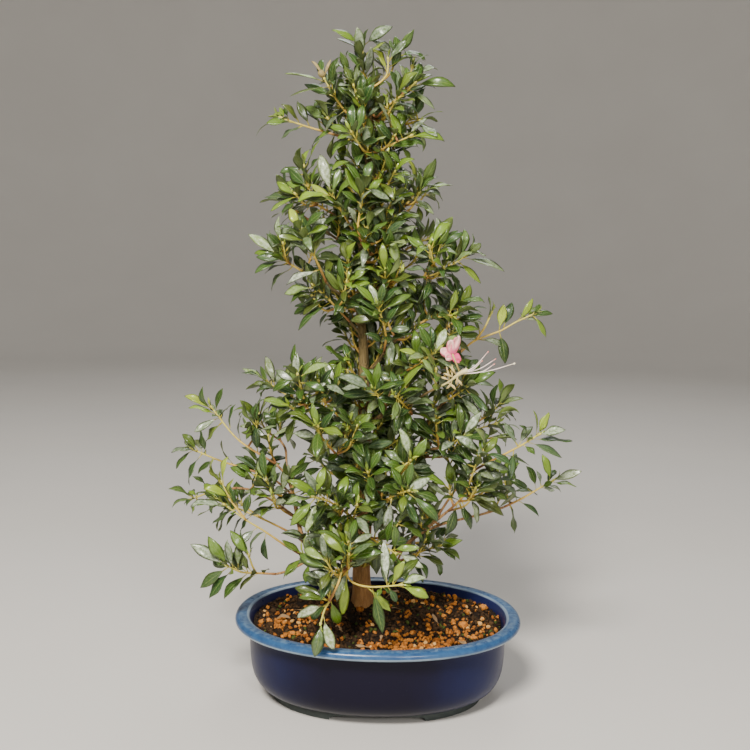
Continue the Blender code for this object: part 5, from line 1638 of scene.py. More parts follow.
def outside_crown(point, axis):
    """Whether a point is past the crown's edges in the photograph, or too far to its front or back."""
    if abs(point.y - axis.y) > SHOOT_SPAN * crown_reach(point.z):
        return True
    x, y = photo_pixel(point)
    for (above, left, right), (below, low_left, low_right) in zip(CROWN_EDGES, CROWN_EDGES[1:]):
        if above <= y <= below:
            share = (y - above) / (below - above)
            return not left + (low_left - left) * share < x < right + (low_right - right) * share
    return True


def shoot_line(choice, axis, draw):
    """A short shoot that leaves one of these points and bends up, and the way it heads."""
    start = choice[int(draw.random() * len(choice))]
    outward = Vector((start.x - axis.x, start.y - axis.y, 0))
    astray = Vector((draw.uniform(-1, 1), draw.uniform(-1, 1), draw.uniform(*SHOOT_RISE)))
    heading = outward.normalized() * min(outward.length / SHOOT_CORE, 1) * SHOOT_OUT + astray
    heading.normalize()
    length = draw.uniform(*SHOOT_LENGTH)
    middle = start + heading * length * 0.5
    end = start + (heading + UP * SHOOT_LIFT).normalized() * length
    return smooth_line([start, middle, end], SHOOT_STEPS), heading


def grow_shoots(wood, stems, room):
    """Side shoots that only the fine model has, on branches, stems and trunk where there is room."""
    draw = random.Random(SHOOT_SEED)
    axis = sight(AXIS_PIXEL, 0)
    roots = wood.points + [point for lines in stems.values() for line in lines for point in line[:-2]]
    roots = [point for point in roots if point.z > LOWEST_SHOOT]
    trunk = smooth_line(wood.trunk, TRUNK_SHOOT_STEPS)
    trunk = [point for point in trunk if point.z > LOWEST_TRUNK_SHOOT]
    shoots = {}
    for index in range(SHOOTS):
        choice = trunk if draw.random() < TRUNK_SHOOTS else roots
        for _ in range(SHOOT_TRIES):
            line, heading = shoot_line(choice, axis, draw)
            tip = Leaf(line[0], line[-1] + heading * SHOOT_MARGIN, UP, 0, 0)
            if not inside_box(tip) or hides_bare(tip) or outside_crown(tip.tip, axis):
                continue
            body = tube(line[2:], [STEM_RADIUS] * (len(line) - 2), SHOOT_SIDES)
            probe = blade(Leaf(line[-1], line[-1] + heading * PROBE_LENGTH, UP, PROBE_WIDTH, 0))
            if not room.touched(None, body) and not room.touched(None, probe):
                name = f"shoot_{index + 1}"
                shoots[name] = [line]
                room.add(name, body)
                break
    return shoots


def make_spray(name, lines, leaves, looks, pot):
    """A spray's fine stems and leaves, kept off the pot, in place of its solid."""
    draw = random.Random(name)
    skin = Skin()
    for i, line in enumerate(lines):
        fine_stem(skin, line, STEM_YOUTH[min(i, 1)], draw)
        if name != CAPSULE_SPRAY:
            bud_leaves(skin, line, draw)
    for leaf, pixel, away in leaves:
        fine_leaf(skin, leaf, leaf_tone(pixel, away, draw), draw, pot)
    skin.piece("fine_" + name, (looks["leaf"], looks["twig"]), ["spray_" + name])


def make_shoots(shoots, leaves, looks):
    """The side shoots with their leaves, as one piece for each band of height."""
    draw = random.Random(SIDE_LEAF_SEED)
    ordered = sorted(shoots, key=lambda name: shoots[name][0][0].z)
    per_band = math.ceil(len(ordered) / SHOOT_BANDS)
    for band in range(SHOOT_BANDS):
        skin = Skin()
        for name in ordered[band * per_band:(band + 1) * per_band]:
            line = shoots[name][0]
            fine_stem(skin, line, SHOOT_YOUTH, draw)
            bud_leaves(skin, line, draw)
            for leaf, pixel, away in leaves[name]:
                fine_leaf(skin, leaf, leaf_tone(pixel, away, draw), draw)
        skin.piece(f"side_shoots_{band + 1}", (looks["leaf"], looks["twig"]))


def add_trunk(skin, wood):
    """Adds the trunk with its ridges, knots and root flare."""
    line = smooth_line(wood.trunk, TRUNK_STEPS)
    vertices, faces = tube(line, [trunk_radius(point.z) for point in line], FINE_TRUNK_SIDES)
    places = []
    moved = []
    for i, vertex in enumerate(vertices):
        point = line[i // FINE_TRUNK_SIDES]
        out = (vertex - point).normalized()
        radius = (vertex - point).length
        turning = Vector((out.x * RIDGE_TURN, out.y * RIDGE_TURN, point.z * RIDGE_RISE))
        ridge = noise.noise(turning * RIDGE_WAVES)
        knot = noise.noise(vertex * KNOT_WAVES)
        foot = ROOT_FLARE * math.exp(-max(point.z - SOIL_EDGE_HEIGHT, 0) / FLARE_HEIGHT)
        foot *= max(0.0, math.sin(math.atan2(out.y, out.x) * ROOTS + ROOT_TURN))
        moved.append(vertex + out * (radius * (RIDGE_DEPTH * ridge + KNOT_DEPTH * knot) + foot))
        places.append((i % FINE_TRUNK_SIDES / FINE_TRUNK_SIDES, point.z, 1.0))
    skin.add(moved, faces, places, PLAIN_TONE)


def add_branch(skin, points, radii):
    """Adds one branch with a collar where it leaves its parent, whose radius comes first."""
    line = smooth_line(points, BRANCH_STEPS)
    base = radii[0]
    own = [radii[1], *radii[1:]]
    spread = smooth_line([Vector((radius, 0, 0)) for radius in own], BRANCH_STEPS)
    fine_radii = []
    for point, along, radius in zip(line, lengths_along(line), spread):
        collar = 1 + COLLAR * math.exp(-max(along - base, 0) / (own[0] * COLLAR_REACH))
        lump = 1 + BRANCH_RELIEF * noise.noise(point * BRANCH_WAVES)
        fine_radii.append(min(radius.x * collar * lump, base * INNER_SHARE if along < base else 1))
    tones = [(i / len(line) * BRANCH_YOUTH, 0.0, 0.5) for i in range(len(line))]
    fine_tube(skin, line, fine_radii, FINE_BRANCH_SIDES, tones)


def make_wood(wood, looks):
    """The trunk and the branches, in place of their solid."""
    skin = Skin()
    radii = wood.radii()
    add_trunk(skin, wood)
    for chain, _ in wood.branches:
        add_branch(skin, [wood.points[i] for i in chain], [radii[i] for i in chain])
    skin.piece("fine_wood", (looks["bark"],), ["wood"])


def pot_outline():
    """The pot's section from under the foot round to the inside, with its rim and body rounded."""
    outline = list(POT_FOOT)
    for stretch in (POT_BODY, POT_RIM):
        points = smooth_line([Vector((inset, height, 0)) for inset, height in stretch], SECTION_STEPS)
        outline += [(point.x, point.y) for point in points]
    return [*outline, *POT_INSIDE]


def make_pot(looks):
    """The glazed pot: its section round the oval, with the foot's gap and the drain holes cut."""
    section = pot_outline()
    sides = FINE_POT_SIDES
    vertices = oval_rings(section, sides)
    last = (len(section) - 1) * sides
    faces = ring_quads(len(section), sides)
    faces += [tuple(reversed(range(sides))), tuple(range(last, last + sides))]
    skin = Skin()
    skin.add(vertices, faces)
    pot = skin.piece("fine_pot", (looks["glaze"],), ["pot"])
    cut(pot, foot_cutter())
    for side in (-1, 1):
        line = [Vector((POT_ASIDE + side * DRAIN_ASIDE, 0, height)) for height in DRAIN_CUT]
        cut(pot, plain_mesh("drain_cutter", tube(line, [DRAIN_RADIUS] * 2, DRAIN_SIDES)))
    return BVHTree.FromPolygons(vertices, faces)


def plain_mesh(name, shape):
    """A cutter with these vertices and faces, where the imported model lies."""
    mesh = bpy.data.meshes.new(name)
    mesh.from_pydata([v + MODEL_SHIFT for v in shape[0]], [], shape[1])
    obj = bpy.data.objects.new(name, mesh)
    bpy.context.scene.collection.objects.link(obj)
    return obj


def cut(obj, cutter):
    """Cuts the cutter's shape out of the piece, applied at once, and removes the cutter."""
    tool = obj.modifiers.new("cut", "BOOLEAN")
    tool.operation = "DIFFERENCE"
    tool.solver = "EXACT"
    tool.object = cutter
    graph = bpy.context.evaluated_depsgraph_get()
    made = bpy.data.meshes.new_from_object(obj.evaluated_get(graph))
    obj.modifiers.clear()
    obj.data = made
    bpy.data.objects.remove(cutter, do_unlink=True)
    made.shade_smooth()
    made.set_sharp_from_angle(angle=SHARP_ANGLE)


def foot_cutter():
    """A long low arch that divides the foot ring into a left and a right foot."""
    arch = []
    for k in range(ARCH_STEPS + 1):
        angle = math.pi * k / ARCH_STEPS
        across = math.cos(angle) * FOOT_GAP_HALF + FOOT_GAP_ASIDE
        arch.append((across, math.sin(angle) ** ARCH_POWER * FOOT_GAP_HEIGHT))
    below = -FOOT_GAP_HEIGHT
    outline = [(arch[0][0], below), *arch, (arch[-1][0], below)]
    vertices = [Vector((x, side * POT_DEPTH, z)) for side in (-1, 1) for x, z in outline]
    count = len(outline)
    faces = [tuple(range(count)), tuple(range(2 * count - 1, count - 1, -1))]
    for k in range(count):
        follow = (k + 1) % count
        faces.append((k, k + count, follow + count, follow))
    return plain_mesh("foot_cutter", (vertices, faces))


def soil_top(x, y):
    """The soil's surface, heaped up against the trunk's foot."""
    away = math.hypot(x - TRUNK_FOOT.x, y - TRUNK_FOOT.y) - trunk_radius(SOIL_EDGE_HEIGHT)
    return soil_height(x, y) + HEAP_HEIGHT * max(0.0, 1 - max(0.0, away) / HEAP_REACH) ** 2


def make_soil(looks):
    """The dark soil between and under the grains, closed, with its centre inside the trunk."""
    sides = FINE_SOIL_SIDES
    vertices = []
    for step in range(FINE_SOIL_RINGS + 1):
        share = SOIL_CENTRE + (1 - SOIL_CENTRE) * (step / FINE_SOIL_RINGS)
        for angle in turns(sides):
            spot = TRUNK_FOOT.lerp(oval_point(SOIL_INSET * MM, 0, angle), share)
            bump = sum(noise.noise(Vector((spot.x, spot.y, level)) * waves) * part
                       for waves, level, part in SOIL_WAVES)
            height = soil_top(spot.x, spot.y) + SOIL_BUMPS * bump - SOIL_LOWERED
            vertices.append(Vector((spot.x, spot.y, height)))
    vertices += [Vector((v.x, v.y, SOIL_EDGE_HEIGHT - SOIL_SKIRT)) for v in vertices[-sides:]]
    last = len(vertices) - sides
    faces = [tuple(range(sides)), *ring_quads(FINE_SOIL_RINGS + 2, sides, inward=True)]
    faces.append(tuple(reversed(range(last, last + sides))))
    skin = Skin()
    skin.add(vertices, faces)
    skin.piece("fine_soil", (looks["humus"],), ["soil"])


def ball(rings, sides):
    """Vertices and faces of a closed ball of radius one."""
    vertices = [Vector((0, 0, -1))]
    for i in range(1, rings):
        height = -math.cos(math.pi * i / rings)
        across = math.sin(math.pi * i / rings)
        vertices += [Vector((across * math.cos(a), across * math.sin(a), height)) for a in turns(sides)]
    top = len(vertices)
    vertices.append(Vector((0, 0, 1)))
    faces = [tuple(1 + i for i in face) for face in ring_quads(rings - 1, sides)]
    for k in range(sides):
        follow = (k + 1) % sides
        faces += [(0, 1 + follow, 1 + k), (top, top - sides + k, top - sides + follow)]
    return vertices, faces


def soil_spot(draw, margin):
    """A random place on the soil, this far in from the pot's wall and clear of the trunk."""
    least = trunk_radius(SOIL_EDGE_HEIGHT) + margin + TRUNK_ROOM
    while True:
        edge = oval_point(SOIL_INSET * MM + margin, 0, draw.uniform(0, 2 * math.pi))
        share = math.sqrt(draw.random())
        spot = Vector((POT_ASIDE + (edge.x - POT_ASIDE) * share, edge.y * share, 0))
        if math.hypot(spot.x - TRUNK_FOOT.x, spot.y - TRUNK_FOOT.y) > least:
            return spot


def orange_share(spot):
    """How likely the baked orange grains are here: dense in patches, few between them."""
    share = FEWEST_ORANGE
    for x, y, radius, most in ORANGE_PATCHES:
        away = math.hypot(spot.x - x, spot.y - y) / radius
        share = max(share, most * (PATCH_REACH - away))
    return min(1.0, share) + CLUMP_DEPTH * noise.noise(Vector((spot.x, spot.y, 0)) * CLUMP_WAVES)


def add_grain(skin, spot, size, tone, draw, round_shape):
    """Adds one lump, flattened and knocked out of round, sunk a little in the soil."""
    vertices, faces = round_shape
    seed = stray(draw, GRAIN_DRIFT)
    angle = draw.uniform(0, GRAIN_TURN)
    turn = Matrix.Rotation(angle, 3, Vector((draw.uniform(-1, 1), draw.uniform(-1, 1), 1)))
    stretch = Vector([draw.uniform(*spread) for spread in GRAIN_SPREADS])
    centre = Vector((spot.x, spot.y, soil_top(spot.x, spot.y) + size * draw.uniform(*GRAIN_LIFT)))
    made = []
    for vertex in vertices:
        radius = size * (1 + GRAIN_RELIEF * noise.noise(vertex * GRAIN_WAVES + seed))
        made.append(centre + turn @ (vertex * stretch) * radius)
    skin.add(made, faces, ZEROS, tone)


def make_grains(looks):
    """Loose grains on the soil: baked orange clay, some paler, and dark crumbs of humus between them."""
    draw = random.Random(GRAIN_SEED)
    round_shape = ball(*GRAIN_BALL)
    clay = Skin()
    humus = Skin()
    for _ in range(GRAIN_TRIES):
        size = draw.uniform(*GRAIN_SIZE) * (BIG_SIZE if draw.random() < BIG_GRAINS else 1)
        spot = soil_spot(draw, size * GRAIN_ROOM)
        baked = draw.random() < orange_share(spot)
        special = float(draw.random() < (PALE_GRAINS if baked else MOSSY_CRUMBS))
        tone = (draw.random(), special, draw.random())
        size *= 1 if baked else CRUMB_SIZE
        add_grain(clay if baked else humus, spot, size, tone, draw, round_shape)
    clay.piece("clay_grains", (looks["clay"],))
    humus.piece("humus_crumbs", (looks["crumb"],))


def make_litter(looks):
    """A few dry fallen leaves, curled on the soil."""
    draw = random.Random(LITTER_SEED)
    skin = Skin()
    for _ in range(LITTER):
        spot = soil_spot(draw, LITTER_ROOM)
        length = draw.uniform(*LITTER_LENGTH)
        angle = draw.uniform(0, 2 * math.pi)
        root = Vector((spot.x, spot.y, soil_top(spot.x, spot.y) + LITTER_LIFT))
        course = Vector((math.cos(angle), math.sin(angle), draw.uniform(*LITTER_RISE)))
        tilt = [draw.uniform(-LITTER_TILT, LITTER_TILT) for _ in range(2)]
        bow = draw.uniform(*LITTER_BOW) * length
        leaf = Leaf(root, root + course * length, Vector((*tilt, 1)), length * LITTER_WIDTH, bow)
        fine_leaf(skin, leaf, (draw.random(), 0.0, draw.random()), draw)
    skin.piece("fallen_leaves", (looks["litter"],))


def shaded_tube(skin, line, radii, sides, colours, style=0.0):
    """Adds a closed tube whose places run along the thread's colours, and mark the style."""
    vertices, faces = tube(line, radii, sides)
    start, end = colours
    last = len(line) - 1
    places = [(0.0, start + (end - start) * (i // sides) / last, style) for i in range(len(vertices))]
    skin.add(vertices, faces, places, THREAD_TONE)


def lengthened(line, radii, section):
    """A line and its radii, carried on straight past the end through this section."""
    ahead = (line[-1] - line[-2]).normalized()
    further = [line[-1] + ahead * reach for reach, _ in section]
    return line + further, radii + [radius for _, radius in section]


def make_threads(stalk, looks):
    """The flower's stalk with its calyx, and the threads, each with a knob, the style's a thicker one."""
    skin = Skin()
    line = smooth_line(calyx_line(stalk), FINE_STALK_STEPS)
    spread = smooth_line([Vector((radius, 0, 0)) for radius in STALK_RADII], FINE_STALK_STEPS)
    line, radii = lengthened(line, [radius.x for radius in spread], CALYX_END)
    shaded_tube(skin, line, radii, FINE_STALK_SIDES, STALK_COLOURS)
    foot, tip = FINE_THREAD_RADII
    for i in range(len(FLOWER_THREADS)):
        line = thread_line(stalk[-1], i, FINE_THREAD_STEPS)
        last = len(line) - 1
        radii = [foot + (tip - foot) * k / last for k in range(last + 1)]
        thinner = 1 if i == STYLE else ANTHER_SHARE
        knob = [(reach, radius * thinner) for reach, radius in KNOB_SECTION]
        line, radii = lengthened(line, radii, knob)
        shaded_tube(skin, line, radii, FINE_THREAD_SIDES, THREAD_COLOURS, float(i == STYLE))
    skin.piece("fine_flower_threads", (looks["thread"],), ["flower_stamens"])


def make_petals(stalk, looks):
    """The crumpled petals on a thin dry stalk, and the withered bits below them."""
    draw = random.Random(PETAL_SEED)
    skin = Skin()
    foot, crown = petal_stalk_line(stalk[-1])
    skin.add(*tube([foot, crown], FINE_PETAL_STALK, FINE_STALK_SIDES), PETAL_STALK_PLACE, PLAIN_TONE)
    for i, (tip, look) in enumerate(petal_tips()):
        petal = Leaf(foot.lerp(crown, PETAL_ROOT), tip, look, PETAL_WIDTH, 0)
        fine_petal(skin, petal, i == DEEP_PETAL, draw)
    skin.piece("fine_flower_petals", (looks["petal"],), ["flower_petals"])
    bits = Skin()
    for i, (root, tip) in enumerate(WITHERED_BITS):
        lean = (i % 2 * 2 - 1) * PETAL_LEAN / 2
        end = sight(tip, FLOWER_DEPTH + lean)
        leaf = Leaf(sight(root, FLOWER_DEPTH), end, PETAL_LOOKS[i % 2], BIT_WIDTH, PETAL_BOW)
        fine_leaf(bits, leaf, (draw.random(), 0.0, draw.random()), draw)
    bits.piece("withered_bits", (looks["withered"],))


def fine_petal(skin, petal, deep, draw):
    """Adds one crumpled petal: a closed sheet with folds that deepen toward its tip."""
    run, ahead, normal = leaf_axes(petal)
    side = normal.cross(ahead)
    seed = draw.uniform(0, CRUMPLE_DRIFT)
    top, under, places = [], [], []
    for row in range(PETAL_ROWS + 1):
        share = row / PETAL_ROWS
        bulge = math.sin(math.pi * min(share * PETAL_SWEEP + PETAL_NECK, 1)) ** PETAL_ROUNDNESS
        spread = petal.width * (PETAL_SPREAD[0] + PETAL_SPREAD[1] * bulge) / 2
        for column in range(PETAL_COLUMNS + 1):
            across = column / PETAL_COLUMNS * 2 - 1
            crumple = noise.noise(Vector((across * CRUMPLE_ACROSS + seed, share * CRUMPLE_ALONG, seed)))
            crumple *= CRUMPLE_DEPTH * share
            crumple += math.sin(across * FOLD_WAVES + seed) * FOLD_DEPTH * share
            point = petal.root + run * (share * (1 - PETAL_CORNERS * across * across))
            point += side * across * spread
            point += normal * (crumple + PETAL_CUP * (1 - across * across) * share)
            top.append(point + normal * PETAL_THICKNESS / 2)
            under.append(point - normal * PETAL_THICKNESS / 2)
            places.append((across, share, 0.0))
    faces = sheet_faces(PETAL_ROWS, PETAL_COLUMNS)
    skin.add(top + under, faces, places + places, (float(deep), 0.0, draw.random()))


def sheet_faces(rows, columns):
    """The faces of a closed sheet: its top, its underside and the rim between them."""
    wide = columns + 1
    count = wide * (rows + 1)
    faces = []
    for row in range(rows):
        for column in range(columns):
            a = row * wide + column
            faces.append((a, a + wide, a + wide + 1, a + 1))
            faces.append((a + count, a + 1 + count, a + wide + 1 + count, a + wide + count))
    edge = list(range(wide))
    edge += [row * wide + columns for row in range(1, rows + 1)]
    edge += [rows * wide + column for column in range(columns - 1, -1, -1)]
    edge += [row * wide for row in range(rows - 1, 0, -1)]
    return faces + [(a, b, b + count, a + count) for a, b in zip(edge, edge[1:] + edge[:1])]


def make_capsule(stem, looks):
    """The ribbed seed capsule with its two bracts."""
    skin = Skin()
    line = smooth_line(capsule_line(stem), FINE_CAPSULE_STEPS)
    radii = smooth_line([Vector((radius, 0, 0)) for radius in CAPSULE_RADII], FINE_CAPSULE_STEPS)
    vertices, faces = tube(line, [max(radius.x, CAPSULE_THINNEST) for radius in radii], CAPSULE_SIDES)
    moved = []
    for i, vertex in enumerate(vertices):
        point = line[i // CAPSULE_SIDES]
        rib = math.cos(2 * math.pi * (i % CAPSULE_SIDES) / CAPSULE_SIDES * CAPSULE_GROOVES)
        moved.append(point + (vertex - point) * (1 + GROOVE_DEPTH * rib))
    skin.add(moved, faces, ZEROS, CAPSULE_TONE)
    draw = random.Random(CAPSULE_SEED)
    for bract in bracts(stem):
        fine_leaf(skin, bract, BRACT_TONE, draw)
    skin.piece("fine_capsule", (looks["capsule"],), ["seed_capsule"])


class Look:
    """One Principled material, with short calls for the nodes that feed it."""

    def __init__(self, name, **sockets):
        self.material = bpy.data.materials.new(name)
        self.material.use_nodes = True
        self.tree = self.material.node_tree
        self.shader = self.tree.nodes["Principled BSDF"]
        for socket, value in sockets.items():
            title = socket.replace("_", " ").title().replace("Ior", "IOR")
            self.feed(self.shader.inputs[title], value)

    def feed(self, socket, value):
        """Links a socket to a value that is one, or else sets it."""
        if isinstance(value, bpy.types.NodeSocket):
            self.tree.links.new(value, socket)
        else:
            socket.default_value = (*value, 1.0) if socket.type == "RGBA" else value

    def node(self, kind, inputs=(), **settings):
        """A new node with these inputs and settings."""
        made = self.tree.nodes.new("ShaderNode" + kind)
        for key, value in settings.items():
            setattr(made, key, value)
        for key, value in inputs:
            self.feed(made.inputs[key], value)
        return made

    def calc(self, operation, *values):
        """The result of a sum on one or two numbers."""
        return self.node("Math", enumerate(values), operation=operation).outputs[0]

    def times(self, first, second):
        """Two numbers multiplied."""
        return self.calc("MULTIPLY", first, second)

    def plus(self, first, second):
        """Two numbers added."""
        return self.calc("ADD", first, second)

    def less(self, first, second):
        """The first number less the second."""
        return self.calc("SUBTRACT", first, second)

    def smooth(self, value, low, high, first=0.0, second=1.0):
        """A smooth step of the value, from first at low to second at high."""
        made = self.node("MapRange", ((0, value), (1, low), (2, high), (3, first), (4, second)))
        made.interpolation_type = "SMOOTHSTEP"
        return made.outputs[0]

    def mix(self, share, first, second):
        """The first colour with this share of the second."""
        made = self.node("Mix", data_type="RGBA", blend_type="MIX")
        for key, value in ((0, share), (6, first), (7, second)):
            self.feed(made.inputs[key], value)
        return made.outputs[2]

    def cover(self, base, *layers):
        """The base with other colours laid over it in turn, each by a share or by its layer's step."""
        for value, over in layers:
            if isinstance(over, Layer):
                value, over = self.smooth(value, *over.step), over.colour
            base = self.mix(value, base, over)
        return base

    def ramp(self, value, stops):
        """The colour at this value on a ramp."""
        made = self.node("ValToRGB", ((0, value),))
        points = made.color_ramp.elements
        for point, (position, colour) in zip(points, (stops[0], stops[-1])):
            point.position = position
            point.color = (*colour, 1.0)
        for position, colour in stops[1:-1]:
            points.new(position).color = (*colour, 1.0)
        return made.outputs[0]

    def place(self):
        """The piece's own coordinates, in metres."""
        return self.node("TexCoord").outputs["Object"]

    def split(self, vector):
        """The three numbers of a vector."""
        return self.node("SeparateXYZ", ((0, vector),)).outputs

    def vector(self, key):
        """The three numbers of one of the piece's own attributes."""
        return self.split(self.node("Attribute", attribute_name=key).outputs["Vector"])

    def grain(self, scale, detail=3.0, rough=0.55, place=None):
        """Noise of this many waves to the metre."""
        made = self.node("TexNoise", (("Vector", place or self.place()), ("Scale", scale)))
        made.inputs["Detail"].default_value = detail
        made.inputs["Roughness"].default_value = rough
        return made.outputs[0]

    def cells(self, scale, feature="F1", place=None):
        """How far the cells' centres or edges are, with this many cells to the metre."""
        inputs = (("Vector", place or self.place()), ("Scale", scale))
        return self.node("TexVoronoi", inputs, feature=feature).outputs[0]

    def relief(self, height, strength, distance):
        """Bumps the surface by this height."""
        made = self.node("Bump", (("Height", height), ("Strength", strength), ("Distance", distance)))
        self.feed(self.shader.inputs["Normal"], made.outputs[0])

    def colour(self, value):
        """Gives the surface its colour."""
        self.feed(self.shader.inputs["Base Color"], value)

    def roughness(self, value):
        """Gives the surface its roughness."""
        self.feed(self.shader.inputs["Roughness"], value)


def leaf_look():
    """Glossy leaf: greens by age, patches of painted sheen, a pale midrib with side veins, and a paler matt
    underside.
    """
    look = Look("leaf_green", coat_weight=0.48, coat_roughness=0.17, specular_ior_level=0.30)
    across, along, under = look.vector("place")
    youth, painted_sheen, chance = look.vector("tone")
    out = look.calc("ABSOLUTE", across)
    rib = look.smooth(out, *RIB_STEP)
    wave = look.times(look.less(look.times(along, VEINS), look.times(out, VEIN_SLANT)), 2 * math.pi)
    vein = look.smooth(look.calc("SINE", wave), *VEIN_STEP)
    # Painted sheen: pale patches in noise on the leaves that carry it, weaker toward the edges
    sheen_patches = look.smooth(look.grain(*LEAF_SHEEN_PATCHES), *SHEEN_PATCH_STEP)
    sheen_patches = look.times(sheen_patches, look.smooth(out, *SHEEN_PATCH_EDGE))
    look.colour(look.cover(
        look.ramp(youth, LEAF_GREENS),
        (look.grain(LEAF_CLOUDS), LEAF_PATCHES),
        (chance, LEAF_BLUISH),
        (chance, LEAF_OLIVE),
        (look.times(painted_sheen, sheen_patches), LEAF_PAINTED_SHEEN),
        (look.times(vein, VEIN_SHARE), LEAF_VEINS),
        (look.times(under, UNDERSIDE_SHARE), LEAF_UNDERSIDE),
        (look.times(rib, RIB_SHARE), LEAF_RIB),
        (along, LEAF_STALK)))
    sheen = look.times(look.grain(LEAF_SHEEN), SHEEN_SHARE)
    look.roughness(look.plus(look.smooth(under, *MATT_STEP), sheen))
    height = look.less(look.times(look.grain(LEAF_PORES), PORE_DEPTH), look.times(vein, VEIN_DEPTH))
    look.relief(look.less(height, rib), *LEAF_BUMP)
    return look.material


def twig_look():
    """Young bark: brown and woody at the root, golden green at the growing end."""
    look = Look("twig_bark", roughness=0.6)
    bark = look.ramp(look.vector("tone")[0], TWIG_BARK)
    look.colour(look.cover(bark, (look.grain(TWIG_GRAIN), TWIG_FLECKS)))
    look.relief(look.grain(TWIG_PORES), *TWIG_BUMP)
    return look.material


def bark_look():
    """Trunk and branches: tan streaks and rusty patches, warm at the foot and olive brown higher up."""
    look = Look("bark", roughness=0.8)
    stretch = look.node("Mapping", ((0, look.place()), (3, BARK_STRETCH))).outputs[0]
    streaks = look.grain(*BARK_GRAIN, stretch)
    height = look.split(look.place())[2]
    look.colour(look.cover(
        look.ramp(streaks, BARK_STREAKS),
        (look.grain(*BARK_CLOUDS), BARK_PATCHES),
        (look.grain(*BARK_SPOTS), BARK_RUST),
        (height, BARK_ABOVE),
        (height, BARK_FOOT)))
    plates = look.smooth(look.cells(BARK_PLATES, "DISTANCE_TO_EDGE", stretch), *PLATE_STEP)
    look.relief(look.plus(look.times(plates, PLATE_DEPTH), streaks), *BARK_BUMP)
    return look.material


def glaze_look():
    """Deep blue glaze, pale along the rim's edges as thin glaze and painted highlight, with specks, over a
    grey-green foot.
    """
    look = Look("blue_glaze", coat_weight=0.12, coat_roughness=0.16)
    across, depth, height = look.split(look.place())
    aside = look.less(across, POT_ASIDE + MODEL_SHIFT.x)
    out = crest_share(look, aside, look.less(depth, MODEL_SHIFT.y))
    cloud = look.grain(*GLAZE_CLOUDS)
    fine = look.grain(*GLAZE_GRAIN)
    # The body is paler toward both ends, and more toward the right as painted light
    end = look.plus(look.calc("ABSOLUTE", aside), look.times(aside, PAINTED_LIGHT_SLANT))
    end = look.plus(end, look.times(cloud, END_CLOUDS))
    rim = look.times(look.smooth(height, *RIM_HEIGHT), look.smooth(out, *RIM_OUT))
    worn = look.times(look.smooth(height, *CREST_HEIGHT), look.smooth(fine, *WORN_STEP))
    # Pale rim edges: thin glaze, and painted highlight along the lower outer edge
    thin = look.times(rim_edges(look, out, height), look.smooth(cloud, *THIN_AND_HIGHLIGHT_STEP))
    specks = look.times(look.smooth(look.cells(SPECK_CELLS), *SPECK_STEP),
                        look.smooth(look.grain(*SPECK_CLOUDS), *SPECK_CLOUD_STEP))
    foot = look.smooth(height, *FOOT_HEIGHT)
    look.colour(look.cover(
        look.mix(look.smooth(end, *END_STEP), *GLAZE_BODY),
        (rim, look.mix(look.smooth(look.grain(*RIM_CLOUDS), *RIM_STEP), *GLAZE_RIM)),
        (look.times(worn, WORN_SHARE), GLAZE_WORN),
        (thin, GLAZE_THIN_AND_HIGHLIGHT),
        (look.times(specks, SPECK_SHARE), GLAZE_SPECKS),
        (foot, look.mix(fine, *FOOT_CLAY))))
    look.feed(look.shader.inputs["Specular IOR Level"], look.smooth(rim, *RIM_SPECULAR))
    rough = look.plus(look.smooth(height, *GLAZE_ROUGHNESS), look.times(fine, ROUGH_GRAIN))
    look.roughness(look.calc("MAXIMUM", rough, look.times(foot, FOOT_ROUGHNESS)))
    look.relief(look.plus(look.grain(*GLAZE_SWELL), look.times(fine, GLAZE_GRAIN_DEPTH)), *GLAZE_BUMP)
    return look.material


def crest_share(look, aside, along):
    """How far out from the pot's middle a place is, as a power of its share of the rim's crest."""
    sizes = ((aside, POT_WIDTH / 2 - CREST_INSET), (along, POT_DEPTH / 2 - CREST_INSET))
    shares = [look.calc("DIVIDE", look.calc("ABSOLUTE", away), half) for away, half in sizes]
    return look.plus(*(look.calc("POWER", share, OVAL_POWER) for share in shares))


def rim_edges(look, out, height):
    """Where the rim has its inner edge on top and its lower edge outside, made pale: the lower one is
    painted highlight as well as thin glaze.
    """
    inner = look.times(*(look.smooth(out, *step) for step in INNER_EDGE_OUT))
    inner = look.times(inner, look.smooth(height, *INNER_EDGE_HEIGHT))
    lower = look.times(*(look.smooth(height, *step) for step in LOWER_EDGE_HEIGHT))
    return look.calc("MAXIMUM", inner, look.times(lower, look.smooth(out, *LOWER_EDGE_OUT)))


def ground_look(name, colours, scale, rare=None):
    """Baked clay, humus or crumbs: two colours by each grain's chance, broken by fine pores."""
    look = Look(name, roughness=0.92, specular_ior_level=0.15)
    chance, special = look.vector("tone")[:2]
    share = look.plus(look.times(chance, GROUND_CHANCE), look.times(look.grain(scale), GROUND_GRAIN))
    body = look.mix(share, *colours)
    if rare:
        body = look.mix(special, body, rare)
    pores = look.smooth(look.grain(scale * 4, detail=5, rough=0.7), *GROUND_PORES)
    look.colour(look.mix(pores, body, [part * PORE_SHADE for part in colours[0]]))
    look.relief(look.grain(scale * 3, detail=5, rough=0.7), *GROUND_BUMP)
    return look.material


def petal_look():
    """Petals faded in the middle, pink at the borders and deep pink at the throat, on a dry stalk."""
    look = Look("petal_pink", roughness=0.6)
    across, along, stalk = look.vector("place")
    deep = look.vector("tone")[0]
    look.colour(look.cover(
        look.ramp(along, PETAL_PINKS),
        (look.calc("ABSOLUTE", across), PETAL_BORDER),
        (look.times(deep, DEEP_SHARE), PETAL_DEEP),
        (look.calc("SINE", look.times(across, PETAL_FOLDS)), PETAL_VEINS),
        (stalk, PETAL_STALK_TAN)))
    look.relief(look.grain(PETAL_PORES), *PETAL_BUMP)
    return look.material


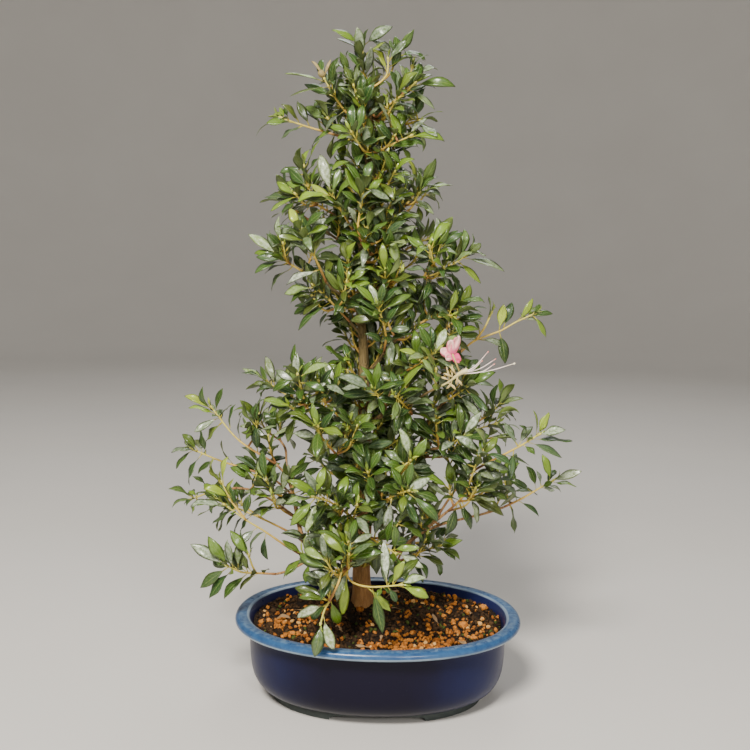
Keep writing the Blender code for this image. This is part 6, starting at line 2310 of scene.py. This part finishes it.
def thread_look():
    """The flower's green stalk and calyx, pale threads with red ends, and a style with a cream one."""
    look = Look("flower_threads", roughness=0.5)
    _, along, style = look.vector("place")
    look.colour(look.cover(
        look.ramp(along, THREAD_RAMP),
        (look.times(style, look.smooth(along, *STYLE_STEP)), STYLE_CREAM),
        (look.grain(THREAD_GRAIN), THREAD_BLUSH)))
    look.relief(look.grain(THREAD_PORES), *THREAD_BUMP)
    return look.material


def plain_look(name, colours, scale, roughness):
    """Two colours in fine noise with a little relief, for the capsule and all that is dry."""
    look = Look(name, roughness=roughness)
    look.colour(look.mix(look.grain(scale, detail=5), *colours))
    look.relief(look.grain(scale * 2), *PETAL_BUMP)
    return look.material


def make_looks():
    """Every material of the plant and its pot."""
    return {
        "leaf": leaf_look(),
        "twig": twig_look(),
        "bark": bark_look(),
        "glaze": glaze_look(),
        "humus": ground_look("humus", HUMUS, HUMUS_WAVES),
        "clay": ground_look("baked_clay", BAKED_CLAY, CLAY_WAVES, PALE_CLAY),
        "crumb": ground_look("humus_crumbs", CRUMBS, CLAY_WAVES, MOSS),
        "litter": plain_look("dry_leaf", DRY_LEAF, scale=300, roughness=0.7),
        "petal": petal_look(),
        "thread": thread_look(),
        "withered": plain_look("withered_tan", WITHERED, scale=400, roughness=0.6),
        "capsule": plain_look("capsule_tan", CAPSULE_TAN, scale=450, roughness=0.6),
    }


def soft_light(name, place, width, power, colour):
    """A round lamp that looks at the plant."""
    data = bpy.data.lights.new(name, "AREA")
    data.shape = "DISK"
    data.size = width
    data.energy = power
    data.color = colour
    lamp = bpy.data.objects.new(name, data)
    lamp.location = place
    lamp.rotation_euler = (LIT_PLACE - Vector(place)).to_track_quat("-Z", "Y").to_euler()
    bpy.context.scene.collection.objects.link(lamp)


def floor_mesh():
    """A round floor that curves up into a wall all round, so that no edge shows behind the object."""
    profile = []
    for step in range(BEND_STEPS + 1):
        angle = math.pi / 2 * step / BEND_STEPS
        out = FLOOR_RADIUS + FLOOR_BEND * math.sin(angle)
        profile.append((out, FLOOR_BEND * (1 - math.cos(angle))))
    profile.append((FLOOR_RADIUS + FLOOR_BEND, WALL_TOP))
    vertices = [(out * math.cos(turn), out * math.sin(turn), height)
                for out, height in profile for turn in turns(FLOOR_SIDES)]
    faces = [tuple(range(FLOOR_SIDES)), *ring_quads(len(profile), FLOOR_SIDES, inward=True)]
    mesh = bpy.data.meshes.new("floor")
    mesh.from_pydata(vertices, [], faces)
    mesh.shade_smooth()
    return mesh


def make_studio():
    """A plain pale floor and soft lights."""
    mesh = floor_mesh()
    floor = bpy.data.objects.new("floor", mesh)
    floor.location.z = -FLOOR_GAP
    look = Look("pale_floor", roughness=0.7)
    look.colour(look.mix(look.grain(FLOOR_WAVES), *FLOOR_GREYS))
    mesh.materials.append(look.material)
    bpy.context.scene.collection.objects.link(floor)
    world = bpy.data.worlds.new("studio")
    world.use_nodes = True
    background = world.node_tree.nodes["Background"]
    background.inputs["Color"].default_value = (*WORLD_COLOUR, 1.0)
    background.inputs["Strength"].default_value = WORLD_LIGHT
    bpy.context.scene.world = world
    for light in LIGHTS:
        soft_light(*light)


def make_camera():
    """The camera that took the photograph."""
    data = bpy.data.cameras.new("camera")
    data.sensor_width = SENSOR_WIDTH
    data.lens = SENSOR_WIDTH * FOCAL_PIXELS / (2 * FRAME_MIDDLE)
    camera = bpy.data.objects.new("camera", data)
    turn = Matrix((RIGHT, TOP, -AHEAD)).transposed()
    camera.matrix_world = Matrix.Translation(EYE + MODEL_SHIFT) @ turn.to_4x4()
    bpy.context.scene.collection.objects.link(camera)
    bpy.context.scene.camera = camera


def write_sizes():
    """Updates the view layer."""
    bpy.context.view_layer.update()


def place_pot_and_flower(room):
    """Places the pot, the soil and the flower as the solids have them, and gives the flower's stalk."""
    room.add("pot", pot_skin(POT_SIDES))
    room.add("soil", soil_skin(random.Random(SEED)))
    stalk, green, pink = flower_shapes()
    for shape in green:
        room.add("flower_stamens", shape)
    for shape in pink:
        room.add("flower_petals", shape)
    return stalk


def grow_wood(stems, stalk, room):
    """The trunk, with a branch to every stem and to the flower, the nearest first."""
    wood = Wood()
    starts = [(name, lines[0]) for name, lines in stems.items()] + [("flower_stamens", stalk)]
    axis = sight(AXIS_PIXEL, 0)
    starts.sort(key=lambda start: math.hypot(start[1][0].x - axis.x, start[1][0].y - axis.y))
    for name, line in starts:
        wood.join(name, line, room)
    for shape in wood.shapes():
        room.add("wood", shape)
    return wood


def main():
    """Grows the plant among what is placed, then makes its fine pieces and the studio."""
    make_camera()
    looks = make_looks()
    room = Room()
    stalk = place_pot_and_flower(room)
    stems = place_stems(room)
    capsule_stem = stems[CAPSULE_SPRAY][0]
    for shape in capsule_shapes(capsule_stem):
        room.add("seed_capsule", shape)
    wood = grow_wood(stems, stalk, room)
    twigs = {name: [Twig(line) for line in lines] for name, lines in stems.items()}
    grown, free = grow_leaves(twigs, room)
    draw = random.Random(FILL_SEED)
    fill_sprays(grown, free, room, FILL_LEAVES, draw)
    shoots = grow_shoots(wood, stems, room)
    shoot_leaves = {name: [] for name in shoots}
    shoot_seats = {name: list(reversed(Twig(lines[0]).seats())) for name, lines in shoots.items()}
    fill_sprays(shoot_leaves, shoot_seats, room, SHOOT_LEAVES, draw)

    pot = make_pot(looks)
    make_soil(looks)
    make_grains(looks)
    make_litter(looks)
    make_wood(wood, looks)
    make_threads(stalk, looks)
    make_petals(stalk, looks)
    make_capsule(capsule_stem, looks)
    for name, lines in stems.items():
        make_spray(name, lines, grown[name], looks, pot)
    make_shoots(shoots, shoot_leaves, looks)
    make_studio()
    write_sizes()


main()
